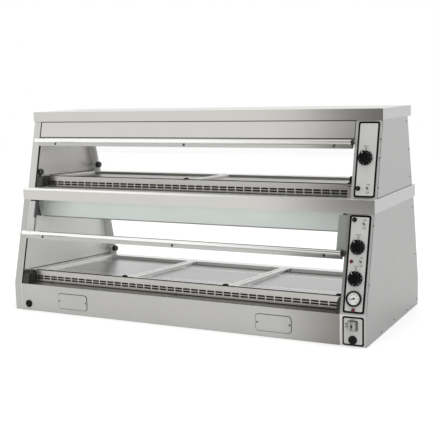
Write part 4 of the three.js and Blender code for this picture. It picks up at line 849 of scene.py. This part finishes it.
# %% [markdown]
# The black blocks at the left ends of the strips have upright ribs, and each black knob has a raised
# ring with a screw in its middle. The ring is a torus pressed flat. It is modelled once.

# %% Ribs of the end blocks
RIB_PITCH, RIB_COUNT = 0.0056, 5
RIB_FOOT = {"lower": 0.0065, "upper": 0.0050}
RIB_HEIGHT = {"lower": 0.0330, "upper": 0.0370}
for tier, place in SLOPES.items():
    low, high = box_on(f"{tier}_strip_end_left", place)
    tall = RIB_HEIGHT[tier]
    y = RIB_FOOT[tier] + tall / 2
    ribs = [bar((0.0022, tall, 0.0014),
                at(place, low.x + 0.0050 + RIB_PITCH * i, y, high.z + 0.0004))
            for i in range(RIB_COUNT)]
    dress(gather(ribs), f"{tier}_end_block_ribs", worn_moulding)
print("ribs:", 2 * RIB_COUNT)

# %% Rings of the knobs
KNOB_FACE = BAY_LEFT + 0.0133
KNOB_RADIUS = 0.0130

def knob_ring():
    ring = fresh(bpy.ops.mesh.primitive_torus_add, major_radius=0.0098, minor_radius=0.0019,
                 major_segments=32, minor_segments=10)
    open_edit(ring)
    bpy.ops.mesh.select_all(action="SELECT")
    bpy.ops.transform.resize(value=(1, 1, 0.55), center_override=(0, 0, 0))
    close_edit()
    bpy.ops.object.shade_smooth_by_angle(angle=math.radians(40))
    return gather([ring, low_head_screw(radius=0.0042, height=0.0016)])

def ring_spots(tier):
    "The middles of the front knob, which is part of the end block, and of the rear knob."
    points = [v.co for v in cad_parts[f"{tier}_strip_end_left"].data.vertices]
    face = [p for p in points if abs(p.x - KNOB_FACE) < 0.0003]
    x, y = ((min(p[i] for p in face) + max(p[i] for p in face)) / 2 for i in (0, 1))
    top = max(p.z for p in face)
    rear = middle_on(f"{tier}_rear_knob_left", WORLD)
    rear.x = box_on(f"{tier}_rear_knob_left", WORLD)[1].x
    return [Vector((x, y, top - KNOB_RADIUS + 0.0025)), rear]

ring = knob_ring()
for tier in TIERS:
    spots = ring_spots(tier)
    rings = [settle(twin(ring), plane(spot + Vector((0.0004, 0, 0)), (0, 1, 0), (1, 0, 0)))
             for spot in spots]
    dress(gather(rings), f"{tier}_knob_rings", worn_moulding)
    print(tier, "rings at", [[round(c * 1000) for c in spot] for spot in spots])
bpy.data.objects.remove(ring)

# %% [markdown]
# The isolator lever stands on a small grey socket with two pins at its left, and a dark bolt holds
# it. The fuse caps have a small brown disc in the middle of their slot. Bolts and discs are prisms
# with a bevelled top.

# %% Isolator fittings and fuse discs
def prism(sides, radius, height, soft, place):
    obj = fresh(bpy.ops.mesh.primitive_cylinder_add, vertices=sides, radius=radius, depth=height)
    open_edit(obj)
    pick(obj, lambda f: f.normal.z > 0.9)
    return bevel_and_settle(obj, soft, 1, place)

def hex_bolt(radius, height, node, place):
    "A bolt head on the outer face of a solid."
    middle, face = middle_on(node, place), box_on(node, place)[1].z
    return prism(6, radius, height, radius * EDGE_SHARE, at(place, middle.x, middle.y, face))

lever = middle_on("isolator_lever", PLINTH)
face = box_on("isolator_plate", PLINTH)[1].z
socket = pad(0.0340, 0.0360, thick=0.0016, corner=0.003,
             place=at(PLINTH, lever.x + 0.0010, lever.y, face + 0.0008))
dress(socket, "isolator_socket", switch_steel)
pins = [bar((0.0110, 0.0028, 0.0030), at(PLINTH, lever.x - 0.0200, lever.y + dy, face + 0.0022))
        for dy in (-0.0050, 0.0050)]
dress(gather(pins), "isolator_pins", switch_steel)
bolt = hex_bolt(radius=0.0036, height=0.0020, node="isolator_lever", place=PLINTH)
dress(bolt, "isolator_bolt", black, "isolator_lever")
for tier, place in SLOPES.items():
    disc = hex_bolt(radius=0.0024, height=0.0008, node=f"{tier}_fuse_cap", place=place)
    dress(disc, f"{tier}_fuse_cap_disc", brass, f"{tier}_fuse_cap")
print("fittings ready")

# %% [markdown]
# The marks on the controls. Each thermostat knob has an index dot on the plate above it, a white line
# on its pointer and ticks with numbers round its skirt, which turn with the knob. Print is text made
# into a mesh and given the thickness of a coat of ink.

# %% Index dots and knob marks
REST_TURN, SWEEP = math.radians(25), math.radians(270)
TICKS = 10
PRINT = 0.0019
KNOBS = (("lower_thermostat_knob_1", LOWER), ("lower_thermostat_knob_2", LOWER),
         ("upper_thermostat_knob_1", UPPER))

def words(text, height, place, thick=0.0001):
    deselect()
    bpy.ops.object.text_add()
    obj = bpy.context.object
    obj.data.body = text
    obj.data.size = height
    obj.data.extrude = thick
    obj.data.align_x = "CENTER"
    obj.data.align_y = "CENTER"
    obj.data.resolution_u = 3
    bpy.ops.object.convert(target="MESH")
    return settle(bpy.context.object, place)

def knob_marks(node, place):
    middle = middle_on(node, place)
    base, top = (corner.z for corner in box_on(node, place))
    parts = []
    for i in range(TICKS + 1):
        turned = at(place, middle.x, middle.y, base + 0.0066, REST_TURN - SWEEP * i / TICKS)
        parts.append(bar((0.0007, 0.0024, 0.0010), at(turned, 0, 0.0228)))
        if i % 2 == 0 and i:
            parts.append(words(str(i // 2), 0.0040, at(turned, 0, 0.0200, 0.0004), 0.0003))
    pointer = at(place, middle.x, middle.y, top, REST_TURN)
    parts.append(bar((0.0018, 0.0080, 0.0004), at(pointer, 0, 0.0185, 0.0001)))
    return dress(gather(parts), f"{node}_marks", white_ink, node)

dots = []
for node, place in KNOBS:
    knob_marks(node, place)
    middle = middle_on(node, place)
    dots.append(prism(sides=20, radius=0.0026, height=0.0004, soft=0.00012,
                      place=at(place, middle.x, middle.y + 0.0325, PRINT)))
dress(gather(dots), "index_dots", black_ink)
print("knobs marked:", len(KNOBS))

# %% [markdown]
# Switches say ON and OFF, the knobs and the isolator have one plain word each, and the thermometer
# has a scale of ticks and numbers round its white face.

# %% Print on the plates
TOGGLES = (("lower_toggle_1", LOWER), ("lower_toggle_2", LOWER), ("upper_toggle_1", UPPER))

def label(text, height, node, place, above):
    "A word on a plate, at a distance above the middle of a control."
    middle = middle_on(node, place)
    return words(text, height, at(place, middle.x, middle.y + above, PRINT))

prints = []
for node, place in TOGGLES:
    prints.append(label("ON", 0.0074, node, place, 0.0125))
    prints.append(label("OFF", 0.0074, node, place, -0.0155))
prints += [label("HEAT", 0.0068, node, place, 0.0400) for node, place in KNOBS]
prints.append(label("MAINS", 0.0060, "isolator_lever", PLINTH, 0.0200))
dress(gather(prints), "plate_print", black_ink)
print("words:", 2 * len(TOGGLES) + len(KNOBS) + 1)

# %% Scale of the thermometer
SCALE_START = math.radians(135)
SCALE_MARKS = 30
SCALE_RADIUS, NUMBER_RADIUS = 0.0198, 0.0140
face = box_on("thermometer_case", LOWER)[1].z - 0.005
scale = []
for i in range(SCALE_MARKS + 1):
    turn = SCALE_START - SWEEP * i / SCALE_MARKS
    long = 0.0030 if i % 5 == 0 else 0.0016
    around = at(LOWER, GAUGE.x, GAUGE.y, face + 0.0001, turn)
    scale.append(bar((0.0005, long, 0.0002), at(around, 0, SCALE_RADIUS - long / 2)))
    if i % 5 == 0:
        number = at(around, 0, NUMBER_RADIUS, 0, -turn)
        scale.append(words(str(20 * i // 5), 0.0044, number))
dress(gather(scale), "thermometer_scale", black_ink)
print("scale marks:", SCALE_MARKS + 1)

# %% [markdown]
# The floor is plain and pale. The photograph has a pure white background, so the floor glows for
# the camera, and a little less where metal or glass shows it. The glow gives the case no light.

# %% Floor and backdrop
MIRRORED_GLOW, SEEN_EXTRA = 0.26, 0.10

def seen_or_mirrored(tree):
    "Two factors: 1 where the camera sees a thing itself, and 1 where metal or glass shows it too."
    path = add(tree, "LightPath").outputs
    seen = path["Is Camera Ray"]
    mirrored = step(tree, "MAXIMUM", seen, path["Is Glossy Ray"])
    return seen, step(tree, "MAXIMUM", mirrored, path["Is Transmission Ray"])

floor = fresh(bpy.ops.mesh.primitive_plane_add, size=14, location=(0, 0, -0.0005))
floor.name = "floor"
ground, tree, shader = new_material("pale_floor")
fill(tree, shader, {"Base Color": (0.80, 0.80, 0.80, 1), "Roughness": 0.9})
seen, mirrored = seen_or_mirrored(tree)
strength = step(tree, "MULTIPLY_ADD", seen, SEEN_EXTRA,
                step(tree, "MULTIPLY", mirrored, MIRRORED_GLOW))
glow = add(tree, "Emission", {"Strength": strength})
both = add(tree, "AddShader", {0: shader.outputs[0], 1: glow.outputs[0]})
fill(tree, tree.nodes["Material Output"], {"Surface": both.outputs[0]})
floor.data.materials.append(ground)
print("floor ready")

# %% [markdown]
# Metal shows what stands round it. The world is an even white room, a little dimmer as a light than
# it looks. A dark card in front of the case's right end, as a photographer would hold it, shades the
# metal there. It shows in reflections only, and casts no shadow.

# %% World light
ROOM_LIGHT = 0.80
world = bpy.data.worlds.new("studio")
bpy.context.scene.world = world
world.use_nodes = True
tree = world.node_tree
mirrored = seen_or_mirrored(tree)[1]
level = add(tree, "MapRange", {"Value": mirrored, "To Min": ROOM_LIGHT, "To Max": 1.0})
fill(tree, tree.nodes["Background"], {"Color": (1, 1, 1, 1), "Strength": level.outputs["Result"]})
print("world ready")

# %% Dark card for the metal
CARD_SHADE = 0.11
card = fresh(bpy.ops.mesh.primitive_plane_add, size=1)
card.name = "front_card"
card.dimensions = (1.9, 1.5, 0)
settle(card, plane((0.65, -0.95, 0.75), (1, 0, 0), (0, 1, 0)))
paper, tree, shader = new_material("front_card")
tree.nodes.remove(shader)
fade = add(tree, "MapRange", {"Value": plane_axes(tree, WORLD)["X"], "From Min": -0.10,
                              "From Max": 0.50}, interpolation_type="SMOOTHSTEP")
clear = add(tree, "BsdfTransparent")
glow = add(tree, "Emission", {"Color": (1, 0.98, 0.96, 1), "Strength": CARD_SHADE})
mix = add(tree, "MixShader", {0: fade.outputs["Result"], 1: clear.outputs[0], 2: glow.outputs[0]})
fill(tree, tree.nodes["Material Output"], {"Surface": mix.outputs[0]})
card.data.materials.append(paper)
card.visible_camera = False
card.visible_diffuse = False
card.visible_shadow = False
card.visible_transmission = False
print("card ready")

# %% [markdown]
# Two wide, soft lamps light the case, one above and a weaker one at the right of the front. The upper
# one is hidden from the metal, because its mirror image would burn out the tops of the caps.

# %% Lamps
AIM = Vector((0, 0, 0.3))

def soft_lamp(name, location, size, watts):
    data = bpy.data.lights.new(name, "AREA")
    data.shape = "RECTANGLE"
    data.size, data.size_y = size
    data.energy = watts
    obj = bpy.data.objects.new(name, data)
    bpy.context.collection.objects.link(obj)
    obj.location = location
    obj.rotation_euler = (AIM - Vector(location)).to_track_quat("-Z", "Y").to_euler()
    return obj

top_lamp = soft_lamp("top", (0.2, 0.3, 3.6), (3.2, 2.6), 40)
top_lamp.visible_glossy = False
soft_lamp("fill", (2.8, -2.4, 2.6), (2.4, 2.4), 18)
print("lamps ready")

# %% [markdown]
# The camera is the one that was fitted to the corners of the case in the photograph: a longish lens,
# a little above the upper cap, turned 27 degrees to the right of the case's front. The fit gave its
# focal length in pixels of the photograph.

# %% Camera
YAW, PITCH, ROLL = (math.radians(v) for v in (27.2, 8.6, -1.5))
CAMERA_PLACE = (1.6156, -3.0777, 0.8700)
SENSOR, FOCAL_PIXELS, PHOTO_PIXELS = 36, 898.9, 440
forward = Vector((-math.sin(YAW) * math.cos(PITCH), math.cos(YAW) * math.cos(PITCH),
                  -math.sin(PITCH)))
level_right = Vector((math.cos(YAW), math.sin(YAW), 0))
level_up = level_right.cross(forward)
right = level_right * math.cos(ROLL) + level_up * math.sin(ROLL)
up = -level_right * math.sin(ROLL) + level_up * math.cos(ROLL)
camera_data = bpy.data.cameras.new("camera")
camera_data.sensor_width = SENSOR
camera_data.lens = SENSOR * FOCAL_PIXELS / PHOTO_PIXELS
camera = bpy.data.objects.new("camera", camera_data)
bpy.context.collection.objects.link(camera)
turned = Matrix((right, up, -forward)).transposed().to_4x4()
camera.matrix_world = Matrix.Translation(CAMERA_PLACE) @ turned
bpy.context.scene.camera = camera
bpy.context.scene.view_settings.view_transform = "Standard"
print("lens", round(camera_data.lens, 1), "mm")
